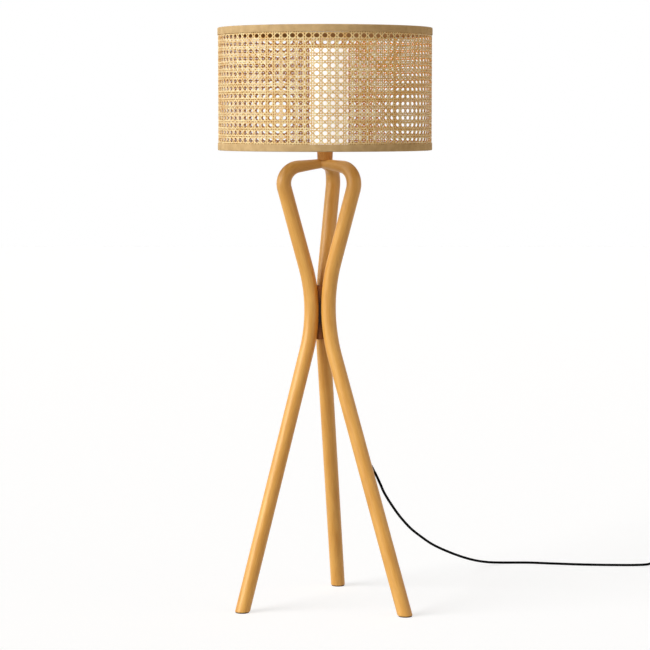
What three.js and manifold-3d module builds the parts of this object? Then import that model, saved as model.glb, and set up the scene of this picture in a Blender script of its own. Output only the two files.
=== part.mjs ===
// Rattan floor lamp: three bent rattan poles, a drum shade of cane webbing, and a black cord with a
// foot switch, its spare length wound up, and a plug.
// Millimetres, +Z up. The origin is on the floor under the middle of the shade, and the lamp is seen
// from -Y with +X to the right.
import * as THREE from 'three';
import { mergeVertices } from 'three/addons/utils/BufferGeometryUtils.js';
import Module from 'manifold-3d';

// Clearances
const seatGap = 0.3;
const cutOverrun = 6;
const weldTolerance = 0.001;

// Poles: their middle line runs from the hub over the loop bend, through the waist bend, to the foot
const poleDiameter = 33;
const poleEndDiameter = 20.5;
const poleTaperLength = 127;
const hubHeight = 1005.5;
const loopCornerRadius = 104.5;
const loopCornerDrop = 12.5;
const loopBendRadius = 38;
const waistHeight = 678.5;
const waistNearRadius = 23.094;
const waistBendRadius = 348;
const footRadius = 212;
// Hand bending sets each level of the frame a little off the shade's axis and a little turned
const hubShift = -6;
const loopShift = -2;
const waistShift = -11;
const footShift = 8;
const loopTwistDegrees = -13.3;
const waistTwistDegrees = -24;
const footTwistDegrees = -6.2;
const poleAzimuthDegrees = { left: 210, right: 330, back: 90 };

// Foot pads
const padThickness = 2.5;
const padInset = 1.2;

// Waist core and its dowels
const coreDiameter = 22;
const coreLength = 123;
const coreDrop = 8.5;
const dowelDiameter = 6;
const dowelDepth = 9;
const dowelStartShare = 0.42;

// Neck
const neckHeight = 30.25;
const neckTopDiameter = 36.8;
const neckBottomDiameter = 33.8;
const neckSaddleDepth = 3;
const neckScrewDiameter = 3.5;
const neckScrewHeadDiameter = 6.6;
const neckScrewHeadHeight = 2.4;
const neckScrewLength = 30;
const neckScrewSink = 1.5;
const neckScrewReachLeft = 5.5;
const neckScrewReachBack = 8;

// Threaded tube and washer
const tubeDiameter = 10;
const tubeBore = 7.6;
const tubeInNeck = 12;
const tubeRise = 8;
const washerDiameter = 30;
const washerThickness = 1.2;
const nutWidth = 15;
const nutThickness = 3;

// Shade
const shadeDiameter = 478;
const shadeHeight = 272;
const shadeDropBelowNeck = 8;
const caneThickness = 2;
const caneRows = 5;
const caneBarWidth = 23;
const caneBarHeight = 18;
const caneCornerCut = 11;
const trimWidth = 16;
const trimInnerWidth = 14;
const trimThickness = 0.8;
const ringWireDiameter = 4;
const carrierPlateDiameter = 44;
const carrierPlateThickness = 1.5;
const carrierArmDiameter = 4;

// Diffuser tube. The hole in its floor lies off its middle, so it stands a little to the right
const diffuserDiameter = 86;
const diffuserShift = 9;
const diffuserHeight = 217;
const diffuserWall = 2.5;
const diffuserFloor = 3;

// Lampholder
const holderDiameter = 41;
const holderFootDiameter = 31;
const holderCapHeight = 26;
const holderCapWall = 2;
const holderFloor = 3;
const holderBodyHeight = 34;
const holderBodyDiameter = 39.5;
const holderBodyBore = 35;
const holderCollarHeight = 3;
const holderSpigotLength = 6;
const insertThickness = 9;
const shellDiameter = 29.5;
const shellBore = 27.6;
const shellHeight = 27;
const contactWidth = 6;
const contactThickness = 0.6;
const contactSpan = 16;
const contactRise = 3.4;

// Bulb
const bulbDiameter = 45;
const bulbGlassHeight = 58;
const bulbNeckDiameter = 27;
const bulbCapDiameter = 26.2;
const bulbCapHeight = 21;
const bulbInsulatorDiameter = 20;
const bulbInsulatorHeight = 2.6;
const bulbContactDiameter = 9.5;
const bulbContactHeight = 1.4;

// Cord
const cordDiameter = 6;
const leadBoreDiameter = 7.6;
const leadBendRadius = 24;
const leadTurnRise = 5.5;
const leadHubReach = 30;
const exitTurnHeight = 366;
const exitTurnRadius = 34;
const exitAzimuthDegrees = 24;
const exitDipDegrees = 56;
const reliefLength = 24;
const reliefSink = 7;
const reliefDiameter = 9.4;
const reliefTipDiameter = 7.4;
// The hand-laid route of the cord from the pole down to the floor and along it to the foot switch
const cordPoints = [
  [119.0, -37.0, 298.0], [125.0, -26.0, 282.5], [132.0, -12.0, 264.5],
  [142.0, 9.0, 244.0], [153.0, 34.0, 223.5], [166.0, 62.0, 201.0], [182.0, 98.0, 176.0],
  [201.0, 138.0, 150.0], [227.0, 188.0, 121.5], [258.0, 248.0, 91.0], [303.0, 323.0, 57.5],
  [345.0, 384.0, 32.0], [378.0, 425.0, 16.5], [410.0, 453.0, 7.5], [446.0, 469.0, 3.6],
  [506.0, 471.0, 3.1], [565.0, 460.0, 3.1], [640.0, 447.0, 3.1], [715.0, 441.0, 3.1],
  [775.0, 440.0, 3.4], [800.0, 440.0, 5.2],
];

// Foot switch
const switchPlace = { x: 878, y: 440 };
const switchLength = 84;
const switchWidth = 40;
const switchHeight = 24;
const switchBaseHeight = 8;
const switchWall = 2;
const switchEdge = 3;
const switchReliefLength = 20;
const switchReliefSink = 4;
const switchCollarDiameter = 11;
const buttonDiameter = 24;
const buttonRise = 4;
const buttonFlangeWidth = 1.6;
const buttonFlangeThickness = 1.8;
const buttonEdge = 1.5;
const buttonCrown = 0.5;
const buttonTravel = 3;
const blockLength = 30;
const blockWidth = 18;
const springDiameter = 12;
const springWire = 1;
const springCurls = 4;
const springPressedHeight = 6.4;
const switchScrewDiameter = 3;
const switchScrewHeadDiameter = 5.6;
const switchScrewHeadHeight = 1.8;
const switchScrewSink = 0.6;
const switchScrewLength = 14;
const switchScrewReach = 29;
const switchBossDiameter = 7;

// Wound cord: two layers, each a spiral of two turns
const coilTurns = 2;
const coilOuterRadius = 39.6;
const coilPitch = 6.6;
const coilLayerRise = 6.6;
const coilDip = 0.9;
const linkLength = 21.4;
const tieThickness = 0.9;
const tieWidth = 6;

// Plug
const plugLength = 36;
const plugWidth = 27;
const plugBackWidth = 16;
const plugHeight = 14;
const plugEdge = 2;
const plugReliefLength = 25;
const plugTailLength = 56;
const pinDiameter = 4;
const pinSleeveDiameter = 3.6;
const pinTipLength = 9;
const pinLength = 19;
const pinSpacing = 18.6;

// Colours and surfaces
const rattan = { color: 0xd69a52, roughness: 0.55, metalness: 0 };
const darkRattan = { color: 0xa86f35, roughness: 0.7, metalness: 0 };
const cane = { color: 0xdcbc84, roughness: 0.6, metalness: 0 };
const tape = { color: 0xb79b6c, roughness: 0.9, metalness: 0 };
const steel = { color: 0xb9bcc0, roughness: 0.35, metalness: 1 };
const brass = { color: 0xc9a75a, roughness: 0.35, metalness: 1 };
const whitePlastic = { color: 0xf1f0ec, roughness: 0.45, metalness: 0 };
const opal = { color: 0xfaf9f4, roughness: 0.3, metalness: 0 };
const blackRubber = { color: 0x101010, roughness: 0.7, metalness: 0 };
const blackPlastic = { color: 0x141414, roughness: 0.4, metalness: 0 };
const felt = { color: 0x4a3a2a, roughness: 1, metalness: 0 };

// Flats that stand in for round forms, and steps along bends and turns
const barFlats = { pole: 14, cord: 8, coil: 6, curl: 5 };
const turnedFlats = { shade: 44, wire: 4, arm: 8, wide: 20, small: 12, nut: 6 };
const flats = { ...barFlats, ...turnedFlats };
const arcSegments = { switch: 5, plug: 4, edge: 2 };
const bendStepDegrees = 9;
const cordStepDiameters = 3;
const coilSteps = 24;
const curlSteps = 8;
const domeSteps = 5;
const settleSteps = 12;

const wasm = await Module();
wasm.setup();

// Shape helpers

// Joins the shared corners of a geometry, so that it is one closed skin.
function welded(geometry) {
  const bare = geometry.clone();
  bare.deleteAttribute('normal');
  bare.deleteAttribute('uv');
  return mergeVertices(bare, weldTolerance);
}

function solidOf(geometry) {
  const skin = welded(geometry);
  return new wasm.Manifold(
    new wasm.Mesh({
      numProp: 3,
      vertProperties: new Float32Array(skin.attributes.position.array),
      triVerts: new Uint32Array(skin.index.array),
    }),
  );
}

function geometryOf(solid) {
  const mesh = solid.getMesh();
  const geometry = new THREE.BufferGeometry();
  geometry.setAttribute('position', new THREE.BufferAttribute(new Float32Array(mesh.vertProperties), 3));
  geometry.setIndex(new THREE.BufferAttribute(new Uint32Array(mesh.triVerts), 1));
  return geometry;
}

function cut(geometry, tools) {
  return geometryOf(tools.reduce((left, tool) => left.subtract(solidOf(tool)), solidOf(geometry)));
}

function joined(geometries) {
  return geometryOf(geometries.map(solidOf).reduce((all, one) => all.add(one)));
}

// A profile of [radius, height] corners turned round the Z axis.
function turned(profile, pieces = flats.small) {
  const points = profile.map(([radius, height]) => new THREE.Vector2(radius, height));
  if (profile[0][0] > 0) points.push(points[0].clone());
  return new THREE.LatheGeometry(points, pieces).rotateX(Math.PI / 2);
}

function turnedTube(outerDiameter, bore, bottom, top, pieces) {
  const outer = outerDiameter / 2;
  const inner = bore / 2;
  return turned([[inner, bottom], [outer, bottom], [outer, top], [inner, top]], pieces);
}

function turnedDisc(diameter, bottom, top, pieces) {
  const radius = diameter / 2;
  return turned([[0, bottom], [radius, bottom], [radius, top], [0, top]], pieces);
}

// A screw that points up, from its head at the bottom to its tip.
function screwProfile(shaft, head, bottom, headTop, top) {
  return [[0, bottom], [head, bottom], [head, headTop], [shaft, headTop], [shaft, top], [0, top]];
}

// A box between two corners.
function boxBetween(low, high) {
  const size = high.map((value, axis) => value - low[axis]);
  const middle = high.map((value, axis) => (value + low[axis]) / 2);
  return new THREE.BoxGeometry(...size).translate(...middle);
}

// Places a geometry made along +Z so that it starts at a point and runs along a direction.
function pointed(geometry, start, direction) {
  const turn = new THREE.Quaternion().setFromUnitVectors(new THREE.Vector3(0, 0, 1), direction);
  return geometry.applyQuaternion(turn).translate(start.x, start.y, start.z);
}

function headingOf(azimuthDegrees, dipDegrees = 0) {
  const azimuth = THREE.MathUtils.degToRad(azimuthDegrees);
  const dip = THREE.MathUtils.degToRad(dipDegrees);
  return new THREE.Vector3(
    Math.cos(azimuth) * Math.cos(dip),
    Math.sin(azimuth) * Math.cos(dip),
    -Math.sin(dip),
  );
}

// Stations along straight runs joined by round bends: the point, the way on, and the length so far.
function bentRoute(corners, bendRadii) {
  const stations = [];
  const bendMiddles = [];
  const add = (point, heading) => {
    const last = stations.at(-1);
    const along = last ? last.along + last.point.distanceTo(point) : 0;
    stations.push({ point, heading, along });
  };
  const wayOn = (index) => corners[index + 1].clone().sub(corners[index]).normalize();
  add(corners[0].clone(), wayOn(0));
  for (let index = 1; index < corners.length - 1; index += 1) {
    const before = wayOn(index - 1);
    const after = wayOn(index);
    const turn = before.angleTo(after);
    const axis = before.clone().cross(after).normalize();
    const reach = bendRadii[index - 1] * Math.tan(turn / 2);
    const start = corners[index].clone().addScaledVector(before, -reach);
    const centre = start.clone().addScaledVector(axis.clone().cross(before), bendRadii[index - 1]);
    const steps = Math.ceil(THREE.MathUtils.radToDeg(turn) / bendStepDegrees);
    for (let step = 0; step <= steps; step += 1) {
      const swung = (turn * step) / steps;
      const point = start.clone().sub(centre).applyAxisAngle(axis, swung).add(centre);
      add(point, before.clone().applyAxisAngle(axis, swung));
    }
    bendMiddles.push(start.clone().sub(centre).applyAxisAngle(axis, turn / 2).add(centre));
  }
  add(corners.at(-1).clone(), wayOn(corners.length - 2));
  return { stations, bendMiddles };
}

// A closed round bar that follows stations: a unit cylinder whose rings are set on them.
function barAlong(stations, radiusAt, sides, reference) {
  const rings = stations.length - 1;
  const bar = welded(new THREE.CylinderGeometry(1, 1, 1, sides, rings));
  const frames = stations.map(({ point, heading, along }) => {
    const across = reference.clone().addScaledVector(heading, -reference.dot(heading)).normalize();
    const other = across.clone().cross(heading);
    return { point, across, other, radius: radiusAt(along) };
  });
  const places = bar.attributes.position;
  for (let index = 0; index < places.count; index += 1) {
    const { point, across, other, radius } = frames[Math.round((places.getY(index) + 0.5) * rings)];
    const place = point
      .clone()
      .addScaledVector(across, places.getX(index) * radius)
      .addScaledVector(other, places.getZ(index) * radius);
    places.setXYZ(index, place.x, place.y, place.z);
  }
  return bar;
}

const lamp = new THREE.Group();
const upright = new THREE.Vector3(0, 0, 1);

function place(group, name, geometry, finish) {
  const piece = new THREE.Mesh(geometry, new THREE.MeshStandardMaterial(finish));
  piece.name = name;
  group.add(piece);
  return piece;
}

function groupAt(x, y, z) {
  const group = new THREE.Group();
  group.position.set(x, y, z);
  lamp.add(group);
  return group;
}

// Poles

const poleRadius = poleDiameter / 2;
const poleEndRadius = poleEndDiameter / 2;
const sides = Object.keys(poleAzimuthDegrees);

function poleRadiusAt(along) {
  const share = Math.min(along / poleTaperLength, 1);
  const eased = share * share * (3 - 2 * share);
  return poleEndRadius + (poleRadius - poleEndRadius) * eased;
}

function levelCorner(side, twistDegrees, radius, height, shift) {
  const corner = headingOf(poleAzimuthDegrees[side] + twistDegrees).multiplyScalar(radius);
  corner.x += shift;
  corner.z = height;
  return corner;
}

// The corners of a pole's middle line. Both ends run on past the place where they are cut.
function poleCorners(side, waistCorner = waistCornerRadius) {
  const hub = new THREE.Vector3(hubShift, 0, hubHeight);
  const loopHeight = hubHeight - loopCornerDrop;
  const loop = levelCorner(side, loopTwistDegrees, loopCornerRadius, loopHeight, loopShift);
  const waist = levelCorner(side, waistTwistDegrees, waistCorner, waistHeight, waistShift);
  const foot = levelCorner(side, footTwistDegrees, footRadius, 0, footShift);
  return { hub, loop, waist, foot };
}

// How much further out than its corner the waist bend passes.
function waistRounding(side, waistCorner) {
  const { loop, waist, foot } = poleCorners(side, waistCorner);
  const turn = waist.clone().sub(loop).angleTo(foot.clone().sub(waist));
  return waistBendRadius * (1 / Math.cos(turn / 2) - 1);
}

// The waist corners lie so that the bends pass the waist's axis at the chosen distance, on average
let waistCornerRadius = waistNearRadius;
for (let step = 0; step < settleSteps; step += 1) {
  const roundings = sides.map((side) => waistRounding(side, waistCornerRadius));
  const average = roundings.reduce((sum, one) => sum + one) / sides.length;
  waistCornerRadius = waistNearRadius - average;
}

function sideways(corners) {
  return corners.loop.clone().sub(corners.hub).cross(upright).normalize();
}

function poleRoute(side) {
  const corners = poleCorners(side);
  const { hub, loop, waist, foot } = corners;
  const pastHub = hub.clone().addScaledVector(loop.clone().sub(hub).normalize(), -poleEndRadius);
  const pastFoot = foot.clone().addScaledVector(foot.clone().sub(waist).normalize(), poleRadius);
  const route = bentRoute([pastHub, loop, waist, pastFoot], [loopBendRadius, waistBendRadius]);
  // Extra stations on the first straight run, where the pole tapers
  const [first, second] = route.stations;
  const middle = {
    point: first.point.clone().lerp(second.point, 0.5),
    heading: first.heading.clone(),
    along: (first.along + second.along) / 2,
  };
  route.stations.splice(1, 0, middle);
  return { ...route, corners };
}

function poleBar(side, extraRadius) {
  const { stations, corners } = poleRoute(side);
  return barAlong(stations, (along) => poleRadiusAt(along) + extraRadius, flats.pole, sideways(corners));
}

// The sector of the hub that one pole keeps: its mitre faces stand halfway to its neighbours.
function hubSector(side) {
  const { hub } = poleCorners(side);
  const azimuth = THREE.MathUtils.degToRad(poleAzimuthDegrees[side] + loopTwistDegrees);
  const reach = loopCornerRadius + loopBendRadius + poleDiameter;
  const setBack = seatGap / (2 * Math.sin(Math.PI / 3));
  const tip = [hub.x + setBack * Math.cos(azimuth), hub.y + setBack * Math.sin(azimuth)];
  const outline = [tip];
  for (const turn of [-Math.PI / 3, 0, Math.PI / 3]) {
    const long = turn === 0 ? reach * 2 : reach;
    outline.push([tip[0] + long * Math.cos(azimuth + turn), tip[1] + long * Math.sin(azimuth + turn)]);
  }
  const shape = new THREE.Shape(outline.map(([x, y]) => new THREE.Vector2(x, y)));
  const depth = hubHeight + poleDiameter;
  return new THREE.ExtrudeGeometry(shape, { depth, bevelEnabled: false });
}

// Heights of what is stacked on the hub. Those of the lampholder's own pieces are above its base
const neckBottom = hubHeight + poleEndRadius - neckSaddleDepth;
const neckTop = neckBottom + neckHeight;
const carrierBottom = neckTop + seatGap + washerThickness + seatGap;
const diffuserBottom = carrierBottom + carrierPlateThickness + seatGap;
const holderBase = diffuserBottom + diffuserFloor + seatGap;
const holderBodyBottom = holderCapHeight + seatGap;
const insertTop = holderBodyBottom + holderCollarHeight;
const insertBottom = insertTop - insertThickness;

// The lead runs inside the right pole, from the lampholder down to where it comes out
const rightCorners = poleCorners('right');
const exitHeading = headingOf(exitAzimuthDegrees, exitDipDegrees);
const legHeading = rightCorners.foot.clone().sub(rightCorners.waist).normalize();
const exitTurn = rightCorners.waist
  .clone()
  .addScaledVector(legHeading, (exitTurnHeight - rightCorners.waist.z) / legHeading.z);
const exitDepth = poleRadius / Math.sin(exitHeading.angleTo(legHeading));
const exitMouth = exitTurn.clone().addScaledVector(exitHeading, exitDepth);
const reliefTip = exitMouth.clone().addScaledVector(exitHeading, reliefLength);

function leadRoute(top) {
  const { hub, loop, waist } = rightCorners;
  const intoPole = hub.clone().addScaledVector(loop.clone().sub(hub).normalize(), leadHubReach);
  const corners = [
    new THREE.Vector3(0, 0, top),
    new THREE.Vector3(0, 0, neckBottom + leadTurnRise),
    intoPole,
    loop,
    waist,
    exitTurn,
    reliefTip,
  ];
  const radii = [leadBendRadius, leadBendRadius, loopBendRadius, waistBendRadius, exitTurnRadius];
  return bentRoute(corners, radii).stations;
}

function leadBar(diameter, top) {
  return barAlong(leadRoute(top), () => diameter / 2, flats.cord, sideways(rightCorners));
}

const leadBore = leadBar(leadBoreDiameter, neckTop + cutOverrun);
const reliefRecess = pointed(
  turnedDisc(reliefDiameter + 2 * seatGap, -reliefSink - seatGap, reliefLength),
  exitMouth,
  exitHeading,
);

function dowelHeading(side) {
  const middle = poleRoute(side).bendMiddles[1];
  return new THREE.Vector3(middle.x - waistShift, middle.y, 0).normalize();
}

function dowelBar(side, diameter, extraLength) {
  const middle = poleRoute(side).bendMiddles[1];
  const reach = Math.hypot(middle.x - waistShift, middle.y) - poleRadius + dowelDepth;
  const start = new THREE.Vector3(waistShift, 0, middle.z);
  const bar = turnedDisc(diameter, dowelDiameter * dowelStartShare - extraLength, reach + extraLength);
  return pointed(bar, start, dowelHeading(side));
}

// The neck's screws come up from the underside of two pole ends
const neckScrewBottom = hubHeight - poleEndRadius + neckScrewSink;

function neckScrewPlace(side, reach) {
  const { hub, loop } = poleCorners(side);
  return hub.clone().addScaledVector(loop.clone().sub(hub).setZ(0).normalize(), reach);
}

function neckScrewBar(side, reach, gap) {
  const { x, y } = neckScrewPlace(side, reach);
  const shaft = neckScrewDiameter / 2 + gap;
  const head = neckScrewHeadDiameter / 2 + gap;
  const bottom = neckScrewBottom - (gap ? cutOverrun : 0);
  const headTop = neckScrewBottom + neckScrewHeadHeight + gap;
  const top = neckScrewBottom + neckScrewLength + gap;
  return turned(screwProfile(shaft, head, bottom, headTop, top)).translate(x, y, 0);
}

const far = shadeDiameter;
const belowPads = boxBetween([-far, -far, -far], [far, far, padThickness + seatGap]);
const belowHub = boxBetween([-far, -far, -far], [far, far, hubHeight - loopCornerDrop - poleDiameter]);
const neckScrewHoles = [
  neckScrewBar('left', neckScrewReachLeft, seatGap),
  neckScrewBar('back', neckScrewReachBack, seatGap),
];
const dowelHole = (side) => dowelBar(side, dowelDiameter + 2 * seatGap, seatGap);

// A pole is whole below the hub, and keeps only its own mitred sector at the hub.
function polePiece(side) {
  const room = solidOf(hubSector(side)).add(solidOf(belowHub));
  const bar = geometryOf(solidOf(poleBar(side, 0)).intersect(room));
  return cut(bar, [belowPads, leadBore, reliefRecess, dowelHole(side), ...neckScrewHoles]);
}

for (const side of sides) {
  place(lamp, `pole_${side}`, polePiece(side), rattan);
  const { foot } = poleCorners(side);
  const pad = turnedDisc(poleDiameter - 2 * padInset, 0, padThickness).translate(foot.x, foot.y, 0);
  place(lamp, `foot_pad_${side}`, pad, felt);
  place(lamp, `waist_dowel_${side}`, dowelBar(side, dowelDiameter, 0), rattan);
}

// Waist core: a round bar with three flutes that the poles press into
const coreCuts = sides.map((side) => poleBar(side, seatGap));
const coreMiddle = waistHeight - coreDrop;
const coreBar = turnedDisc(coreDiameter, coreMiddle - coreLength / 2, coreMiddle + coreLength / 2)
  .translate(waistShift, 0, 0);
place(lamp, 'waist_core', cut(coreBar, [...coreCuts, ...sides.map(dowelHole)]), darkRattan);

// Neck: a tapered collar, hollowed below to sit on the three pole ends
const neckProfile = [
  [0, neckBottom],
  [neckBottomDiameter / 2, neckBottom],
  [neckTopDiameter / 2, neckTop],
  [0, neckTop],
];
const clampHole = tubeDiameter + 2 * seatGap;
const tubeBottom = neckTop - tubeInNeck;
const tubeHole = turnedDisc(clampHole, tubeBottom - seatGap, neckTop + cutOverrun);
const neckCuts = [...sides.map((side) => poleBar(side, seatGap)), tubeHole, leadBore, ...neckScrewHoles];
place(lamp, 'neck', cut(turned(neckProfile, flats.wide), neckCuts), rattan);
place(lamp, 'neck_screw_left', neckScrewBar('left', neckScrewReachLeft, 0), steel);
place(lamp, 'neck_screw_back', neckScrewBar('back', neckScrewReachBack, 0), steel);

// Threaded tube with its washer and nut
const tubeTop = holderBase + holderFloor + tubeRise;
place(lamp, 'threaded_tube', turnedTube(tubeDiameter, tubeBore, tubeBottom, tubeTop), steel);
const washerBottom = neckTop + seatGap;
const washer = turnedTube(washerDiameter, clampHole, washerBottom, washerBottom + washerThickness);
place(lamp, 'neck_washer', washer, steel);

// Shade frame
const shadeBottom = neckTop - shadeDropBelowNeck;
const shadeRadius = shadeDiameter / 2;
const caneInner = shadeRadius - caneThickness;
const ringWireRadius = ringWireDiameter / 2;
const ringRadius = caneInner - seatGap - ringWireRadius;
const edgeInset = trimThickness + seatGap;

const shade = groupAt(0, 0, shadeBottom);

function wireRing(height) {
  const profile = [];
  for (let step = 0; step < flats.wire; step += 1) {
    const angle = (2 * Math.PI * step) / flats.wire;
    const across = ringWireRadius * Math.cos(angle);
    profile.push([ringRadius + across, height + ringWireRadius * Math.sin(angle)]);
  }
  return turned(profile, flats.shade);
}

place(shade, 'bottom_ring', wireRing(edgeInset + ringWireRadius), steel);
place(shade, 'top_ring', wireRing(shadeHeight - edgeInset - ringWireRadius), steel);

// Carrier: a centre plate with three arms that reach down to the bottom ring
const plateLow = carrierBottom - shadeBottom;
const plateHigh = plateLow + carrierPlateThickness;
const armRadius = carrierArmDiameter / 2;
const armStart = carrierPlateDiameter / 2 - armRadius;
// A round wall made of flats comes in by this share of its radius at the middle of each flat
const flatShare = Math.cos(Math.PI / flats.shade);
const armEnd = (ringRadius - ringWireRadius) * flatShare - seatGap;
const carrierArms = sides.map((side) => {
  const outward = headingOf(poleAzimuthDegrees[side]);
  const start = outward.clone().multiplyScalar(armStart).setZ(plateHigh - armRadius);
  const end = outward.clone().multiplyScalar(armEnd).setZ(edgeInset + ringWireRadius);
  const length = start.distanceTo(end);
  return pointed(turnedDisc(carrierArmDiameter, 0, length, flats.arm), start, end.sub(start).normalize());
});
const plate = turnedDisc(carrierPlateDiameter, plateLow, plateHigh, flats.wide);
const plateHole = turnedDisc(clampHole, plateLow - cutOverrun, plateHigh + cutOverrun);
place(shade, 'shade_carrier', cut(joined([plate, ...carrierArms]), [plateHole]), steel);

// Cane wall between the folded tapes, open between its strands. The openings have the eight sides
// that crossing strands leave, and each stands for a few of the real webbing's smaller ones.
const caneBottom = edgeInset;
const caneTop = shadeHeight - edgeInset;
const caneColumns = flats.shade / 2;
const caneColumnPitch = (2 * Math.PI * caneInner) / caneColumns;
const caneRowPitch = (shadeHeight - 2 * trimWidth) / caneRows;

function caneOpening(column, row) {
  const halfWidth = (caneColumnPitch - caneBarWidth) / 2;
  const halfHeight = (caneRowPitch - caneBarHeight) / 2;
  const shape = new THREE.Shape();
  shape.moveTo(halfWidth, halfHeight - caneCornerCut);
  shape.lineTo(halfWidth - caneCornerCut, halfHeight);
  shape.lineTo(caneCornerCut - halfWidth, halfHeight);
  shape.lineTo(-halfWidth, halfHeight - caneCornerCut);
  shape.lineTo(-halfWidth, caneCornerCut - halfHeight);
  shape.lineTo(caneCornerCut - halfWidth, -halfHeight);
  shape.lineTo(halfWidth - caneCornerCut, -halfHeight);
  shape.lineTo(halfWidth, caneCornerCut - halfHeight);
  const depth = caneThickness + 2 * cutOverrun;
  return new THREE.ExtrudeGeometry(shape, { depth, bevelEnabled: false })
    .rotateX(Math.PI / 2)
    .translate(0, depth - caneInner - caneThickness - cutOverrun, trimWidth + (row + 0.5) * caneRowPitch)
    .rotateZ((2 * Math.PI * column) / caneColumns);
}

const caneOpenings = [];
for (let column = 0; column < caneColumns; column += 1) {
  for (let row = 0; row < caneRows; row += 1) caneOpenings.push(caneOpening(column, row));
}
const caneShell = turned(
  [[caneInner, caneBottom], [shadeRadius, caneBottom], [shadeRadius, caneTop], [caneInner, caneTop]],
  flats.shade,
);
place(shade, 'cane_wall', cut(caneShell, caneOpenings), cane);

// Tape folded over an edge of the shade: outside, round the edge, and back up inside the wire ring.
function foldedTape(edge, inward) {
  const outside = shadeRadius + seatGap;
  const inside = ringRadius - ringWireRadius - seatGap;
  const skin = trimThickness;
  const profile = [
    [inside - skin, edge],
    [outside + skin, edge],
    [outside + skin, edge + inward * trimWidth],
    [outside, edge + inward * trimWidth],
    [outside, edge + inward * skin],
    [inside, edge + inward * skin],
    [inside, edge + inward * trimInnerWidth],
    [inside - skin, edge + inward * trimInnerWidth],
  ];
  return turned(inward > 0 ? profile : profile.reverse(), flats.shade);
}

// The arms pass through notches in the inner fold of the lower tape
const notchWidth = carrierArmDiameter + 2 * seatGap;
const armNotches = sides.map((side) =>
  new THREE.BoxGeometry(ringRadius, notchWidth, notchWidth)
    .translate(ringRadius / 2, 0, edgeInset + ringWireRadius)
    .rotateZ(THREE.MathUtils.degToRad(poleAzimuthDegrees[side])),
);
place(shade, 'trim_bottom', cut(foldedTape(0, 1), armNotches), tape);
place(shade, 'trim_top', foldedTape(shadeHeight, -1), tape);

// Diffuser: an open opal cylinder whose floor is clamped under the lampholder
const diffuserRadius = diffuserDiameter / 2;
const diffuserProfile = [
  [0, 0],
  [diffuserRadius, 0],
  [diffuserRadius, diffuserHeight],
  [diffuserRadius - diffuserWall, diffuserHeight],
  [diffuserRadius - diffuserWall, diffuserFloor],
  [0, diffuserFloor],
];
const diffuserHole = turnedDisc(clampHole, -cutOverrun, diffuserFloor + cutOverrun)
  .translate(-diffuserShift, 0, 0);
const diffuser = cut(turned(diffuserProfile, flats.wide), [diffuserHole]);
place(groupAt(diffuserShift, 0, diffuserBottom), 'diffuser_tube', diffuser, opal);

// Lampholder, standing on the diffuser's floor
const holder = groupAt(0, 0, holderBase);
const capOuter = holderDiameter / 2;
const capInner = capOuter - holderCapWall;
const capProfile = [
  [clampHole / 2, 0],
  [holderFootDiameter / 2, 0],
  [capOuter, holderCapHeight / 2],
  [capOuter, holderCapHeight],
  [capInner, holderCapHeight],
  [capInner, holderCapHeight / 2],
  [holderFootDiameter / 2 - holderCapWall, holderFloor],
  [clampHole / 2, holderFloor],
];
place(holder, 'lampholder_cap', turned(capProfile, flats.wide), whitePlastic);

const nutCorner = nutWidth / 2 / Math.cos(Math.PI / flats.nut);
const nutBottom = holderFloor + seatGap;
const nutBlock = turnedDisc(2 * nutCorner, nutBottom, nutBottom + nutThickness, flats.nut);
const nutHole = turnedDisc(clampHole, 0, nutBottom + nutThickness + cutOverrun);
place(holder, 'tube_nut', cut(nutBlock, [nutHole]), steel);

const spigotRadius = capInner - seatGap;
const bodyProfile = [
  [holderBodyBore / 2, holderBodyBottom - holderSpigotLength],
  [spigotRadius, holderBodyBottom - holderSpigotLength],
  [spigotRadius, holderBodyBottom],
  [capOuter, holderBodyBottom],
  [capOuter, holderBodyBottom + holderCollarHeight],
  [holderBodyDiameter / 2, holderBodyBottom + holderCollarHeight],
  [holderBodyDiameter / 2, holderBodyBottom + holderBodyHeight],
  [holderBodyBore / 2, holderBodyBottom + holderBodyHeight],
];
place(holder, 'lampholder_body', turned(bodyProfile, flats.wide), whitePlastic);

const insert = turnedDisc(holderBodyBore - 2 * seatGap, insertBottom, insertTop, flats.wide);
place(holder, 'lampholder_insert', insert, whitePlastic);
const shellBottom = insertTop + seatGap;
const shell = turnedTube(shellDiameter, shellBore, shellBottom, shellBottom + shellHeight);
place(holder, 'lampholder_shell', shell, brass);

// Centre contact: a bent strip that lifts towards the bulb
const strip = new THREE.Shape();
const stripEnd = contactSpan / 2;
strip.moveTo(-stripEnd, 0);
strip.lineTo(-stripEnd, contactThickness);
strip.lineTo(-contactThickness, contactThickness + contactRise);
strip.lineTo(stripEnd - contactWidth, contactThickness + contactRise);
strip.lineTo(stripEnd - contactWidth, contactRise);
strip.lineTo(0, contactRise);
strip.lineTo(contactWidth - stripEnd, 0);
strip.closePath();
const contact = new THREE.ExtrudeGeometry(strip, { depth: contactWidth, bevelEnabled: false })
  .translate(0, 0, -contactWidth / 2)
  .rotateX(Math.PI / 2)
  .translate(0, 0, insertTop + seatGap);
place(holder, 'centre_contact', contact, brass);

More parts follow.
